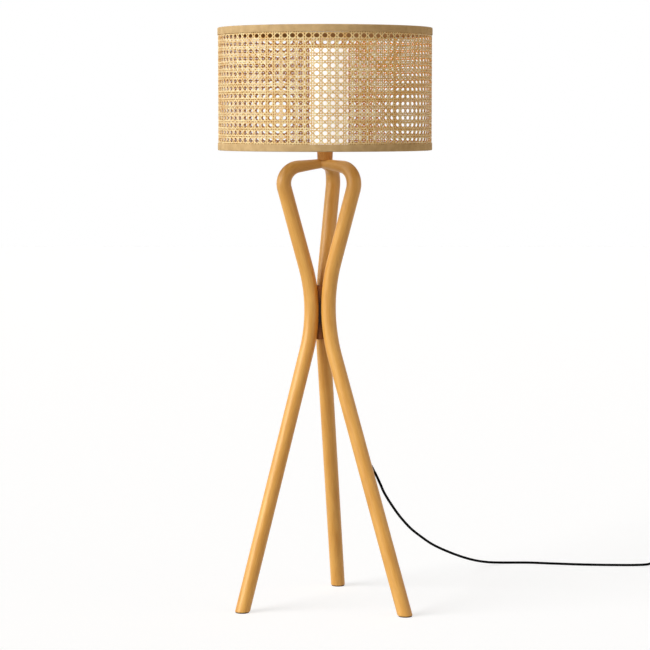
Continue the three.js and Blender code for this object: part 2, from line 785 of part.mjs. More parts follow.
// Bulb, screwed into the shell
const bulbSeat = insertTop + seatGap + contactThickness + contactRise + seatGap;
const bulb = groupAt(0, 0, holderBase + bulbSeat);
place(bulb, 'bulb_contact', turnedDisc(bulbContactDiameter, 0, bulbContactHeight), brass);
const insulatorBottom = bulbContactHeight + seatGap;
const insulatorTop = insulatorBottom + bulbInsulatorHeight;
const insulatorProfile = [
  [0, insulatorBottom],
  [bulbContactDiameter / 2, insulatorBottom],
  [bulbInsulatorDiameter / 2, insulatorTop],
  [0, insulatorTop],
];
place(bulb, 'bulb_insulator', turned(insulatorProfile), blackPlastic);
const bulbCapBottom = insulatorTop + seatGap;
const bulbCapTop = bulbCapBottom + bulbCapHeight;
place(bulb, 'bulb_cap', turnedDisc(bulbCapDiameter, bulbCapBottom, bulbCapTop), brass);

// The glass is a round top that narrows in a smooth S to the cap
const glassBottom = bulbCapTop + seatGap;
const glassTop = glassBottom + bulbGlassHeight;
const globeRadius = bulbDiameter / 2;
const globeCentre = glassTop - globeRadius;
const glassProfile = [[0, glassBottom], [bulbNeckDiameter / 2, glassBottom]];
const shoulderShares = [[0.25, 0.06], [0.5, 0.32], [0.75, 0.75]];
const neckRun = globeCentre - glassBottom;
for (const [riseShare, swellShare] of shoulderShares) {
  const radius = bulbNeckDiameter / 2 + (globeRadius - bulbNeckDiameter / 2) * swellShare;
  glassProfile.push([radius, glassBottom + neckRun * riseShare]);
}
for (let step = 0; step <= domeSteps; step += 1) {
  const angle = (Math.PI * step) / (2 * domeSteps);
  const radius = step === domeSteps ? 0 : globeRadius * Math.cos(angle);
  glassProfile.push([radius, globeCentre + globeRadius * Math.sin(angle)]);
}
place(bulb, 'bulb_glass', turned(glassProfile), opal);

// Lead inside the lamp and the sleeve where it comes out
place(lamp, 'inner_lead', leadBar(cordDiameter, holderBase + insertBottom - seatGap), blackRubber);
const reliefProfile = [
  [cordDiameter / 2 + seatGap, -reliefSink],
  [reliefDiameter / 2, -reliefSink],
  [reliefDiameter / 2, 0],
  [reliefTipDiameter / 2, reliefLength],
  [cordDiameter / 2 + seatGap, reliefLength],
];
place(lamp, 'exit_relief', pointed(turned(reliefProfile), exitMouth, exitHeading), blackRubber);

// Foot switch, in its own group on the floor with its length along X
const footSwitch = groupAt(switchPlace.x, switchPlace.y, 0);

function stadium(length, width) {
  const shape = new THREE.Shape();
  const radius = width / 2;
  const straight = length / 2 - radius;
  shape.absarc(straight, 0, radius, -Math.PI / 2, Math.PI / 2);
  shape.absarc(-straight, 0, radius, Math.PI / 2, (3 * Math.PI) / 2);
  return shape;
}

function stadiumBlock(length, width, bottom, top) {
  const options = { depth: top - bottom, bevelEnabled: false, curveSegments: arcSegments.switch };
  return new THREE.ExtrudeGeometry(stadium(length, width), options).translate(0, 0, bottom);
}

// A stadium block whose top edge is rounded.
function cushionBlock(length, width, bottom, top, edge) {
  const inner = stadium(length - 2 * edge, width - 2 * edge);
  const options = {
    depth: top - bottom - 2 * edge,
    bevelEnabled: true,
    bevelSize: edge,
    bevelThickness: edge,
    bevelSegments: arcSegments.edge,
    curveSegments: arcSegments.switch,
  };
  return new THREE.ExtrudeGeometry(inner, options).translate(0, 0, bottom + edge);
}

const switchSplit = switchBaseHeight + seatGap;
const cordHeightInSwitch = switchBaseHeight + seatGap / 2;
const switchReliefRadius = reliefDiameter / 2;

function alongX(geometry, start, height, direction) {
  return pointed(geometry, new THREE.Vector3(start, 0, height), new THREE.Vector3(direction, 0, 0));
}

// A sleeve has a collar inside the wall, and the room cut for it is wider there
function sleeveProfile(gap, end, endRadius) {
  const collar = switchCollarDiameter / 2 + gap;
  const inside = -switchWall - switchReliefSink - gap;
  const face = gap - switchWall - seatGap;
  return [
    [0, inside],
    [collar, inside],
    [collar, face],
    [switchReliefRadius + gap, face],
    [switchReliefRadius + gap, 0],
    [endRadius, end],
    [0, end],
  ];
}

const reliefPassages = [-1, 1].map((end) => {
  const room = turned(sleeveProfile(seatGap, cutOverrun, switchReliefRadius + seatGap));
  return alongX(room, (end * switchLength) / 2, cordHeightInSwitch, end);
});

function switchScrewAt(end, gap) {
  const shaft = switchScrewDiameter / 2 + gap;
  const head = switchScrewHeadDiameter / 2 + gap;
  const bottom = gap ? -cutOverrun : switchScrewSink;
  const headTop = switchScrewSink + switchScrewHeadHeight + gap;
  const top = switchScrewSink + switchScrewLength + gap;
  const screw = turned(screwProfile(shaft, head, bottom, headTop, top));
  return screw.translate(end * switchScrewReach, 0, 0);
}

const screwBossBase = [-1, 1].map((end) =>
  turnedDisc(switchScrewHeadDiameter + 2 * switchWall, switchWall / 2, switchBaseHeight)
    .translate(end * switchScrewReach, 0, 0),
);
const screwHoles = [-1, 1].map((end) => switchScrewAt(end, seatGap));
const baseHollow = stadiumBlock(
  switchLength - 2 * switchWall,
  switchWidth - 2 * switchWall,
  switchWall,
  switchBaseHeight + cutOverrun,
);
const baseShell = cut(stadiumBlock(switchLength, switchWidth, 0, switchBaseHeight), [baseHollow]);
const baseBody = cut(joined([baseShell, ...screwBossBase]), [...reliefPassages, ...screwHoles]);
place(footSwitch, 'switch_base', baseBody, blackPlastic);

const coverBlock = solidOf(
  cushionBlock(switchLength, switchWidth, -switchEdge, switchHeight, switchEdge),
).intersect(
  solidOf(stadiumBlock(switchLength + cutOverrun, switchWidth + cutOverrun, switchSplit, switchHeight)),
);
const coverRoof = switchHeight - switchWall;
const coverHollow = stadiumBlock(
  switchLength - 2 * switchWall - switchEdge,
  switchWidth - 2 * switchWall - switchEdge,
  0,
  coverRoof,
);
const coverBosses = [-1, 1].map((end) =>
  turnedDisc(switchBossDiameter, switchSplit, coverRoof + switchWall / 2)
    .translate(end * switchScrewReach, 0, 0),
);
const buttonHole = turnedDisc(buttonDiameter + 2 * seatGap, 0, switchHeight + cutOverrun, flats.wide);
const hollowCover = cut(geometryOf(coverBlock), [coverHollow]);
const coverHoles = [buttonHole, ...reliefPassages, ...screwHoles];
const coverBody = cut(joined([hollowCover, ...coverBosses]), coverHoles);
place(footSwitch, 'switch_cover', coverBody, blackPlastic);

// Button: its flange is caught under the cover's roof
const flangeTop = coverRoof - seatGap;
const flangeBottom = flangeTop - buttonFlangeThickness;
const flangeRadius = buttonDiameter / 2 + buttonFlangeWidth;
const buttonTop = switchHeight + buttonRise;
const buttonRadius = buttonDiameter / 2;
const buttonProfile = [
  [0, flangeBottom],
  [flangeRadius, flangeBottom],
  [flangeRadius, flangeTop],
  [buttonRadius, flangeTop],
  [buttonRadius, buttonTop - buttonEdge],
  [buttonRadius - buttonEdge, buttonTop - buttonCrown],
  [0, buttonTop],
];
place(footSwitch, 'switch_button', turned(buttonProfile, flats.wide), blackPlastic);

// Contact block, low enough to leave room for the button's travel and the pressed spring
const blockTop = flangeBottom - buttonTravel - springPressedHeight;
const block = boxBetween(
  [-blockLength / 2, -blockWidth / 2, switchWall + seatGap],
  [blockLength / 2, blockWidth / 2, blockTop],
);
place(footSwitch, 'switch_block', block, blackPlastic);

const springLow = blockTop + seatGap + springWire / 2;
const springHigh = flangeBottom - seatGap - springWire / 2;
const springStations = [];
const springSteps = springCurls * curlSteps;
for (let step = 0; step <= springSteps; step += 1) {
  const angle = (2 * Math.PI * springCurls * step) / springSteps;
  const radius = (springDiameter - springWire) / 2;
  const rise = springLow + ((springHigh - springLow) * step) / springSteps;
  springStations.push({
    point: new THREE.Vector3(radius * Math.cos(angle), radius * Math.sin(angle), rise),
    heading: new THREE.Vector3(-Math.sin(angle), Math.cos(angle), 0),
    along: step,
  });
}
const springBar = barAlong(springStations, () => springWire / 2, flats.curl, upright);
place(footSwitch, 'switch_spring', springBar, steel);

for (const [end, word] of [[-1, 'in'], [1, 'out']]) {
  place(footSwitch, `switch_screw_${word}`, switchScrewAt(end, 0), steel);
  const reliefBody = turned(sleeveProfile(0, switchReliefLength, reliefTipDiameter / 2));
  const relief = alongX(reliefBody, (end * switchLength) / 2, cordHeightInSwitch, end);
  place(footSwitch, `switch_relief_${word}`, relief, blackRubber);
}

// Cord from the exit to the foot switch
const switchInEnd = new THREE.Vector3(
  switchPlace.x - switchLength / 2 - switchReliefLength - seatGap,
  switchPlace.y,
  cordHeightInSwitch,
);
const switchOutEnd = new THREE.Vector3(
  switchPlace.x + switchLength / 2 + switchReliefLength + seatGap,
  switchPlace.y,
  cordHeightInSwitch,
);
const cordStart = reliefTip.clone().addScaledVector(exitHeading, seatGap);
const cordCurve = new THREE.CatmullRomCurve3([
  cordStart,
  cordStart.clone().addScaledVector(exitHeading, cordDiameter),
  ...cordPoints.map((point) => new THREE.Vector3(...point)),
  switchInEnd.clone().setX(switchInEnd.x - cordDiameter),
  switchInEnd,
]);

function cordBar(curve) {
  const section = new THREE.Shape().absarc(0, 0, cordDiameter / 2, 0, 2 * Math.PI);
  const steps = Math.max(2, Math.round(curve.getLength() / (cordStepDiameters * cordDiameter)));
  const options = { steps, bevelEnabled: false, curveSegments: flats.cord / 2, extrudePath: curve };
  return new THREE.ExtrudeGeometry(section, options);
}

place(lamp, 'cord_floor', cordBar(cordCurve), blackRubber);

// Wound cord: spirals in, climbs a layer where it reverses, and spirals out again
const coilFloor = tieThickness + seatGap + cordDiameter / 2;
const coilCentre = switchOutEnd.clone().setZ(0);
coilCentre.x += linkLength + seatGap + cordDiameter;
coilCentre.y -= coilOuterRadius;
const coilInnerRadius = coilOuterRadius - coilTurns * coilPitch;

function coilPoint(turn) {
  const reverse = Math.min(Math.max(turn - coilTurns, 0) * 2, 1);
  const outward = turn > coilTurns + 0.5;
  const inTurns = Math.min(turn, coilTurns);
  const outTurns = outward ? turn - coilTurns - 0.5 : 0;
  const dip = outward ? 0 : coilDip * Math.sin(Math.PI * reverse);
  const radius = coilOuterRadius - coilPitch * inTurns + coilPitch * outTurns - dip;
  const lift = (coilLayerRise * (1 - Math.cos(Math.PI * reverse))) / 2;
  const angle = Math.PI / 2 - 2 * Math.PI * turn;
  return new THREE.Vector3(
    coilCentre.x + radius * Math.cos(angle),
    coilCentre.y + radius * Math.sin(angle),
    coilFloor + lift,
  );
}

const coilAllSteps = (2 * coilTurns + 0.5) * coilSteps;
const coilLine = Array.from({ length: coilAllSteps + 1 }, (_, step) => coilPoint(step / coilSteps));
const coilIn = coilLine[0].clone().setX(coilLine[0].x - cordDiameter);
const coilOut = coilLine.at(-1).clone().setX(coilLine.at(-1).x - cordDiameter);
const coilRun = [coilIn, ...coilLine, coilOut];
const coilStations = coilRun.map((point, index) => {
  const before = coilRun[Math.max(index - 1, 0)];
  const after = coilRun[Math.min(index + 1, coilRun.length - 1)];
  return { point, heading: after.clone().sub(before).normalize(), along: index };
});
coilStations[0].heading.set(1, 0, 0);
coilStations.at(-1).heading.set(-1, 0, 0);
const coilBar = barAlong(coilStations, () => cordDiameter / 2, flats.coil, upright);
place(lamp, 'cord_coil', coilBar, blackRubber);

// The least gap of the winding to itself, between points more than a quarter turn apart
let leastGap = Infinity;
for (let first = 0; first < coilRun.length; first += 1) {
  for (let second = first + coilSteps / 4; second < coilRun.length; second += 1) {
    leastGap = Math.min(leastGap, coilRun[first].distanceTo(coilRun[second]) - cordDiameter);
  }
}
console.log(`wound cord: least gap to itself ${leastGap.toFixed(2)} mm`);

// Link between the foot switch and the winding
const linkEnd = coilIn.clone().setX(coilIn.x - seatGap);
const linkCurve = new THREE.CubicBezierCurve3(
  switchOutEnd,
  switchOutEnd.clone().setX(switchOutEnd.x + cordDiameter),
  linkEnd.clone().setX(linkEnd.x - cordDiameter),
  linkEnd,
);
place(lamp, 'cord_link', cordBar(linkCurve), blackRubber);

// A band round the winding, on its +X side
const tieInner = {
  near: coilInnerRadius - coilDip - cordDiameter / 2 - seatGap,
  far: coilOuterRadius + cordDiameter / 2 + seatGap,
  low: tieThickness,
  high: coilFloor + coilLayerRise + cordDiameter / 2 + seatGap,
};
const tieBlock = boxBetween(
  [tieInner.near - tieThickness, -tieWidth / 2, 0],
  [tieInner.far + tieThickness, tieWidth / 2, tieInner.high + tieThickness],
);
const tieRoom = boxBetween(
  [tieInner.near, -tieWidth, tieInner.low],
  [tieInner.far, tieWidth, tieInner.high],
);
place(groupAt(coilCentre.x, coilCentre.y, 0), 'coil_tie', cut(tieBlock, [tieRoom]), blackPlastic);

// Plug, lying flat with its pins towards -X
const plugEntry = coilOut.x - seatGap - plugTailLength;
const plug = groupAt(plugEntry - plugReliefLength, coilOut.y, plugHeight / 2);
const plugShape = new THREE.Shape();
const plugFront = plugLength - plugEdge;
const plugHalf = plugWidth / 2 - plugEdge;
const plugBackHalf = plugBackWidth / 2 - plugEdge;
const plugSwell = plugLength / 3;
const plugShoulder = plugLength / 2;
plugShape.moveTo(-plugEdge, -plugBackHalf);
plugShape.lineTo(-plugEdge, plugBackHalf);
plugShape.bezierCurveTo(-plugSwell, plugBackHalf, -plugSwell, plugHalf, -plugShoulder, plugHalf);
plugShape.lineTo(-plugFront, plugHalf);
plugShape.lineTo(-plugFront, -plugHalf);
plugShape.lineTo(-plugShoulder, -plugHalf);
plugShape.bezierCurveTo(-plugSwell, -plugHalf, -plugSwell, -plugBackHalf, -plugEdge, -plugBackHalf);
const plugBlock = new THREE.ExtrudeGeometry(plugShape, {
  depth: plugHeight - 2 * plugEdge,
  bevelEnabled: true,
  bevelSize: plugEdge,
  bevelThickness: plugEdge,
  bevelSegments: arcSegments.edge,
  curveSegments: arcSegments.plug,
}).translate(0, 0, plugEdge - plugHeight / 2);
place(plug, 'plug_body', plugBlock, blackPlastic);

const plugReliefBody = turned([
  [0, seatGap],
  [reliefDiameter / 2, seatGap],
  [reliefTipDiameter / 2, plugReliefLength],
  [0, plugReliefLength],
]);
place(plug, 'plug_relief', alongX(plugReliefBody, 0, 0, 1), blackRubber);

for (const [side, word] of [[-1, 'left'], [1, 'right']]) {
  const sleeve = pinSleeveDiameter / 2;
  const tip = pinDiameter / 2;
  const sleeveEnd = pinLength - pinTipLength;
  const profile = [
    [0, seatGap], [sleeve, seatGap], [sleeve, sleeveEnd], [tip, sleeveEnd],
    [tip, pinLength - tip], [tip / 2, pinLength], [0, pinLength],
  ];
  const pin = alongX(turned(profile), -plugLength, 0, -1).translate(0, (side * pinSpacing) / 2, 0);
  place(plug, `plug_pin_${word}`, pin, steel);
}

// Tail from the winding down to the plug
const tailStart = coilOut.clone().setX(coilOut.x - seatGap);
const tailEnd = new THREE.Vector3(plugEntry + seatGap, coilOut.y, plugHeight / 2);
const tailReach = plugTailLength / 2;
const tailCurve = new THREE.CubicBezierCurve3(
  tailStart,
  tailStart.clone().setX(tailStart.x - tailReach),
  tailEnd.clone().setX(tailEnd.x + tailReach),
  tailEnd,
);
place(lamp, 'cord_tail', cordBar(tailCurve), blackRubber);

export default lamp;
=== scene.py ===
# Finished surfaces of a rattan floor lamp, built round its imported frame. Metres, +Z up, the origin on
# the floor under the middle of the shade, and the lamp seen from -Y.
import math
import random

import bmesh
import bpy
from bpy.props import FloatProperty, FloatVectorProperty, IntProperty, PointerProperty
from mathutils import Matrix, Vector
from mathutils.geometry import interpolate_bezier


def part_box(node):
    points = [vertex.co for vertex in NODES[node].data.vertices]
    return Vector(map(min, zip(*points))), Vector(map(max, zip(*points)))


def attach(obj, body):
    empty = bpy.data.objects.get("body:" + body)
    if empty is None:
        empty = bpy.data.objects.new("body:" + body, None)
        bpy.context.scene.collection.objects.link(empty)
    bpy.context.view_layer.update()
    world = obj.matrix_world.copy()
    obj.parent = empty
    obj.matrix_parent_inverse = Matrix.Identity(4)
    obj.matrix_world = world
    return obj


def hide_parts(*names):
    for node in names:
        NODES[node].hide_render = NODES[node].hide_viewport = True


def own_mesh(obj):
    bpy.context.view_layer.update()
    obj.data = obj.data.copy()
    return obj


bl_info = {
    "name": "Rattan Floor Lamp",
    "version": (1, 0, 0),
    "blender": (4, 5, 0),
    "location": "View3D > Sidebar > Lamp",
    "description": "Builds the finished surfaces of a rattan floor lamp round its packed frame",
    "category": "Add Mesh",
}

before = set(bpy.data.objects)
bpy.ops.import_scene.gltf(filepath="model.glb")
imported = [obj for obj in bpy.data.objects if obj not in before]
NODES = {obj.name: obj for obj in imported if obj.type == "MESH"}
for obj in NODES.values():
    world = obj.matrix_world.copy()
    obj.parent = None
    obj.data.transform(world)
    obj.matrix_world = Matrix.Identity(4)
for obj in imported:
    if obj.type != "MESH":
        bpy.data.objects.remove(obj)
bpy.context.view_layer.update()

MM = 0.001
SEAT_GAP = 0.3 * MM
MERGE_DISTANCE = 0.001 * MM
UPRIGHT = Vector((0, 0, 1))
SIDES = ("left", "right", "back")


def node_low(name):
    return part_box(name)[0]


def node_high(name):
    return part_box(name)[1]


def node_middle(name):
    low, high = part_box(name)
    return (low + high) / 2


def linear(red, green, blue):
    """A colour given in 0 to 255 screen values, as Blender's linear values, by the sRGB curve."""
    shares = [value / 255 for value in (red, green, blue)]
    return [v / 12.92 if v <= 0.04045 else ((v + 0.055) / 1.055) ** 2.4 for v in shares]


# Sizes and colours that a user would change


def length(name, description, default):
    return FloatProperty(name=name, description=description, default=default, unit="LENGTH", precision=4)


def angle(name, description, degrees):
    return FloatProperty(
        name=name, description=description, default=math.radians(degrees), unit="ROTATION", subtype="ANGLE"
    )


def colour(name, description, red, green, blue):
    return FloatVectorProperty(
        name=name, description=description, default=linear(red, green, blue), subtype="COLOR", min=0, max=1
    )


class LampPoleSizes(bpy.types.PropertyGroup):
    diameter: length("Pole diameter", "Thickness of a pole below the loop", 33 * MM)
    hub_diameter: length("Diameter at the hub", "Thickness of a pole where the three meet", 20.5 * MM)
    taper: length("Taper length", "Run over which a pole thins towards the hub", 127 * MM)
    hub_height: length("Hub height", "Height of the middle lines where they meet", 1005.5 * MM)
    loop_radius: length("Loop corner radius", "How far out the corner of the upper loop is", 104.5 * MM)
    loop_drop: length("Loop corner drop", "How far below the hub the loop corner is", 12.5 * MM)
    loop_bend: length("Loop bend radius", "Bend radius at the loop corner", 38 * MM)
    waist_height: length("Waist height", "Height of the waist corner", 678.5 * MM)
    waist_near: length("Waist radius", "How near the bends pass the waist's axis, on average", 23.094 * MM)
    waist_bend: length("Waist bend radius", "Bend radius at the waist", 348 * MM)
    foot_radius: length("Foot radius", "How far out a foot stands", 212 * MM)
    hub_shift: length("Hub shift", "Sideways place of the hub", -6 * MM)
    loop_shift: length("Loop shift", "Sideways place of the loop", -2 * MM)
    waist_shift: length("Waist shift", "Sideways place of the waist", -11 * MM)
    foot_shift: length("Foot shift", "Sideways place of the feet", 8 * MM)
    loop_twist: angle("Loop twist", "Turn of the upper loop", -13.3)
    waist_twist: angle("Waist twist", "Turn of the waist", -24)
    foot_twist: angle("Foot twist", "Turn of the feet", -6.2)
    left_azimuth: angle("Left azimuth", "Direction of the left pole", 210)
    right_azimuth: angle("Right azimuth", "Direction of the right pole", 330)
    back_azimuth: angle("Back azimuth", "Direction of the back pole", 90)
    neck_bottom: length("Neck bottom diameter", "Thickness of the neck's lower end", 33.8 * MM)


class LampShadeSizes(bpy.types.PropertyGroup):
    columns: IntProperty(name="Columns", description="Open cells round the shade", default=87, min=12)
    row: length("Row height", "Height of one open cell", 16 * MM)
    strand_width: length("Strand width", "Width of one strand of cane", 2.45 * MM)
    strand_thickness: length("Strand thickness", "Thickness of one strand", 0.8 * MM)
    pair_half: length("Half of a pair", "From the middle of a pair to the middle of a strand", 2.35 * MM)
    wave: length("Wave", "How far a strand swings in and out as it crosses others", 0.5 * MM)
    tape_width: length("Tape width", "Outer width of the folded tape", 16 * MM)
    tape_inner: length("Tape inner width", "Inner width of the folded tape", 14 * MM)
    tape_thickness: length("Tape thickness", "Thickness of the tape", 0.8 * MM)
    wire: length("Ring wire", "Thickness of the wire rings", 4 * MM)


class LampCordSizes(bpy.types.PropertyGroup):
    diameter: length("Cord diameter", "Thickness of the cord", 6 * MM)
    coil_turns: IntProperty(name="Coil turns", description="Turns in each layer", default=2, min=1)
    coil_radius: length("Coil radius", "Outer turn's middle line", 39.6 * MM)
    coil_pitch: length("Coil pitch", "From turn to turn, and from layer to layer", 6.6 * MM)
    coil_dip: length("Coil dip", "How far the climbing half turn draws in", 0.9 * MM)


class LampView(bpy.types.PropertyGroup):
    place: FloatVectorProperty(
        name="Camera place", description="Where the photograph was taken from",
        default=(0, -5.15325, 1.11985), subtype="TRANSLATION", unit="LENGTH"
    )
    pitch: angle("Pitch", "How far the camera looks down", 5.309)
    lens: FloatProperty(name="Lens", description="Focal length on a 36 mm sensor", default=126.87)
    key_azimuth: angle("Key light's direction", "How far to the left of the camera the key light is", 62)
    key_height: angle("Key light's height", "How high above level the key light is", 25)
    key_spread: angle("Key light's spread", "Apparent width of the key light", 44)
    key_strength: FloatProperty(name="Key light", description="Strength of the key light", default=3.3)
    fill_azimuth: angle("Fill light's direction", "How far to the right of the camera the fill light is", 62)
    fill_height: angle("Fill light's height", "How high above level the fill light is", 12)
    fill_spread: angle("Fill light's spread", "Apparent width of the fill light", 60)
    fill_strength: FloatProperty(name="Fill light", description="Strength of the fill light", default=0.85)
    fill_colour: colour("Fill light's colour", "Colour of the fill light", 255, 232, 196)
    sky: FloatProperty(name="Ambient", description="Strength of the light from all round", default=0.18)


class LampColours(bpy.types.PropertyGroup):
    rattan_pale: colour("Rattan, pale", "Pale streaks of the poles", 230, 174, 86)
    rattan_deep: colour("Rattan, deep", "Deep streaks of the poles", 202, 138, 48)
    # Painted shade: the neck's colours are darker than the poles' for the shade that the lampshade casts on
    # it
    neck_pale_shaded: colour("Neck, pale", "Pale streaks of the neck", 218, 152, 72)
    neck_deep_shaded: colour("Neck, deep", "Deep streaks of the neck", 184, 114, 36)
    # Painted shade: the core between the poles is coloured nearly black at mid-height and brown towards its
    # ends
    core: colour("Core", "The dark core at the waist, at mid-height", 40, 18, 8)
    core_end_painted_shade: colour("Core ends", "The core towards its ends", 150, 92, 42)
    cane_pale: colour("Cane, pale", "Palest strands of the webbing", 255, 243, 190)
    # The inner side's colour is partly the duller pith and partly painted shade for the shade inside the
    # lampshade
    cane_pith_and_shade: colour("Cane, inner side", "The dull inner side of the strands", 190, 122, 30)
    cane_deep: colour("Cane, deep", "Deepest strands of the webbing", 206, 140, 44)
    tape_pale: colour("Tape, pale", "Ribs of the tape", 220, 188, 136)
    tape_deep: colour("Tape, deep", "Between the ribs of the tape", 166, 131, 84)
    # Painted shade on the tape's inner side, which faces into the lampshade
    tape_inside_shade: colour("Tape, inner side", "The tape's inner side", 122, 84, 44)
    opal: colour("Opal", "The diffuser", 250, 249, 245)
    white: colour("White plastic", "The lampholder", 238, 236, 230)
    black: colour("Black plastic", "Switch and plug", 24, 24, 25)
    cord: colour("Cord", "The cord's sheath", 5, 5, 5)
    felt: colour("Felt", "Pads under the feet", 74, 56, 40)
    brass: colour("Brass", "Lamp threads and contacts", 205, 170, 96)
    steel: colour("Steel", "Wires, screws and pins", 196, 198, 201)


# Forms


def finished_normals(form):
    bmesh.ops.remove_doubles(form, verts=form.verts, dist=MERGE_DISTANCE)
    bmesh.ops.recalc_face_normals(form, faces=form.faces)
    return form


def mesh_of(form, name):
    """The form as a mesh. The form itself is freed."""
    mesh = bpy.data.meshes.new(name)
    form.to_mesh(mesh)
    form.free()
    return mesh


def placed(name, data):
    """A new object in the scene."""
    made = bpy.data.objects.new(name, data)
    bpy.context.scene.collection.objects.link(made)
    return made


def post(radius, bottom, top):
    """The profile of a plain round post."""
    return [(0, bottom), (radius, bottom), (radius, top), (0, top)]


def eased(share):
    """A share from 0 to 1 that starts and ends gently."""
    return share * share * (3 - 2 * share)


# A rounding takes less than half of a side, so that two of them can't meet
ROUNDED_SHARE = 0.48


def rounded(profile, radius, steps=4, keep=()):
    """The profile with its corners rounded, apart from its ends and the corners numbered in keep."""
    points = [Vector(point) for point in profile]
    out = [points[0]]
    for index in range(1, len(points) - 1):
        corner = points[index]
        if index in keep:
            out.append(corner)
            continue
        before = points[index - 1] - corner
        after = points[index + 1] - corner
        reach = min(radius, ROUNDED_SHARE * before.length, ROUNDED_SHARE * after.length)
        start = corner + before.normalized() * reach
        end = corner + after.normalized() * reach
        for step in range(steps + 1):
            share = step / steps
            inward = (1 - share) ** 2
            outward = share**2
            out.append(start * inward + corner * (1 - inward - outward) + end * outward)
    out.append(points[-1])
    return out


def turned(profile, steps=48):
    """A profile of (radius, height) points turned round the Z axis."""
    form = bmesh.new()
    verts = [form.verts.new((radius, 0, height)) for radius, height in profile]
    edges = [form.edges.new(pair) for pair in zip(verts, verts[1:])]
    if profile[0][0] > 0:
        edges.append(form.edges.new((verts[-1], verts[0])))
    bmesh.ops.spin(
        form, geom=verts + edges, cent=(0, 0, 0), axis=(0, 0, 1), dvec=(0, 0, 0), angle=2 * math.pi,
        steps=steps, use_merge=True
    )
    return finished_normals(form)


def turned_at(profile, place, steps=48):
    form = turned(profile, steps)
    bmesh.ops.translate(form, verts=form.verts, vec=place)
    return form


def pointed(form, start, direction):
    """Moves a form made along +Z so that it starts at a point and runs along a direction."""
    turn = UPRIGHT.rotation_difference(direction).to_matrix().to_4x4()
    bmesh.ops.transform(form, matrix=Matrix.Translation(start) @ turn, verts=form.verts)
    return form


def heading_of(azimuth, dip=0.0):
    return Vector((math.cos(azimuth) * math.cos(dip), math.sin(azimuth) * math.cos(dip), -math.sin(dip)))


def station(point, heading, reference, size, along):
    """One place along a bar: its matrix, its two half sizes and the length so far."""
    across = (reference - heading * reference.dot(heading)).normalized()
    other = heading.cross(across)
    turn = Matrix((across * size[0], other * size[1], heading)).transposed().to_4x4()
    return {"matrix": Matrix.Translation(point) @ turn, "size": size, "along": along}


def grain_of(vert, place, grain):
    local = place["matrix"].inverted() @ vert.co
    vert[grain] = (local.x * place["size"][0], local.y * place["size"][1], place["along"])


def bar_along(places, sides, looped=False):
    """A closed bar that follows its stations. Its grain attribute unrolls it along its length."""
    form = bmesh.new()
    grain = form.verts.layers.float_vector.new("grain")
    first = bmesh.ops.create_circle(
        form, cap_ends=not looped, segments=sides, radius=1, matrix=places[0]["matrix"]
    )["verts"]
    for vert in first:
        grain_of(vert, places[0], grain)
    first_edges = list({edge for vert in first for edge in vert.link_edges})
    edges = first_edges
    for last, now in zip(places, places[1:]):
        grown = bmesh.ops.extrude_edge_only(form, edges=edges)["geom"]
        verts = [item for item in grown if isinstance(item, bmesh.types.BMVert)]
        edges = [
            item for item in grown if isinstance(item, bmesh.types.BMEdge) and set(item.verts) <= set(verts)
        ]
        step = now["matrix"] @ last["matrix"].inverted()
        bmesh.ops.transform(form, matrix=step, verts=verts)
        for vert in verts:
            grain_of(vert, now, grain)
    if looped:
        bmesh.ops.bridge_loops(form, edges=edges + first_edges)
    else:
        bmesh.ops.contextual_create(form, geom=edges)
    bmesh.ops.recalc_face_normals(form, faces=form.faces)
    return form


def rod(points, radius, sides):
    """A round bar along a smooth run of points."""
    places = []
    along = 0
    for index, point in enumerate(points):
        before = points[max(index - 1, 0)]
        after = points[min(index + 1, len(points) - 1)]
        along += (point - before).length
        places.append(station(point, (after - before).normalized(), UPRIGHT, (radius, radius), along))
    return bar_along(places, sides)


def bent_run(corners, radii, straight_step, bend_step):
    """Points and headings along straight runs joined by round bends."""
    out = [(corners[0], (corners[1] - corners[0]).normalized())]

    def straight_to(point, heading):
        start = out[-1][0]
        count = max(1, round((point - start).length / straight_step))
        for step in range(1, count + 1):
            out.append((start.lerp(point, step / count), heading))

    for index in range(1, len(corners) - 1):
        before = (corners[index] - corners[index - 1]).normalized()
        after = (corners[index + 1] - corners[index]).normalized()
        turn = before.angle(after)
        axis = before.cross(after).normalized()
        radius = radii[index - 1]
        start = corners[index] - before * radius * math.tan(turn / 2)
        centre = start + axis.cross(before) * radius
        straight_to(start, before)
        count = math.ceil(turn / bend_step)
        for step in range(1, count + 1):
            swing = Matrix.Rotation(turn * step / count, 3, axis)
            out.append((centre + swing @ (start - centre), swing @ before))
    straight_to(corners[-1], (corners[-1] - corners[-2]).normalized())
    return out


def block(size, place):
    form = bmesh.new()
    bmesh.ops.create_cube(form, size=1, matrix=Matrix.Translation(place) @ Matrix.Diagonal((*size, 1)))
    return form


def bevelled(form, edges, offset, segments):
    shape = {"profile": 0.5, "affect": "EDGES", "material": -1, "clamp_overlap": True}
    bmesh.ops.bevel(form, geom=list(edges), offset=offset, segments=segments, **shape)
    return form


def folds(form, least):
    """The edges where two faces meet at more than an angle."""
    return [edge for edge in form.edges if len(edge.link_faces) == 2 and edge.calc_face_angle() > least]


def edges_along(form, axis, least):
    """The edges that reach further than a length along an axis, 0 to 2."""
    return [edge for edge in form.edges if abs((edge.verts[0].co - edge.verts[1].co)[axis]) > least]


def carved(form, *cutters):
    """The form with the cutters' forms taken out of it."""
    solids = [placed("carving", mesh_of(item, "carving")) for item in (form, *cutters)]
    for cutter in solids[1:]:
        step = solids[0].modifiers.new("carve", "BOOLEAN")
        step.operation = "DIFFERENCE"
        step.solver = "EXACT"
        step.object = cutter
    bpy.context.view_layer.update()
    seen = solids[0].evaluated_get(bpy.context.evaluated_depsgraph_get())
    out = bmesh.new()
    out.from_mesh(seen.to_mesh())
    seen.to_mesh_clear()
    for solid in solids:
        mesh = solid.data
        bpy.data.objects.remove(solid)
        bpy.data.meshes.remove(mesh)
    return out


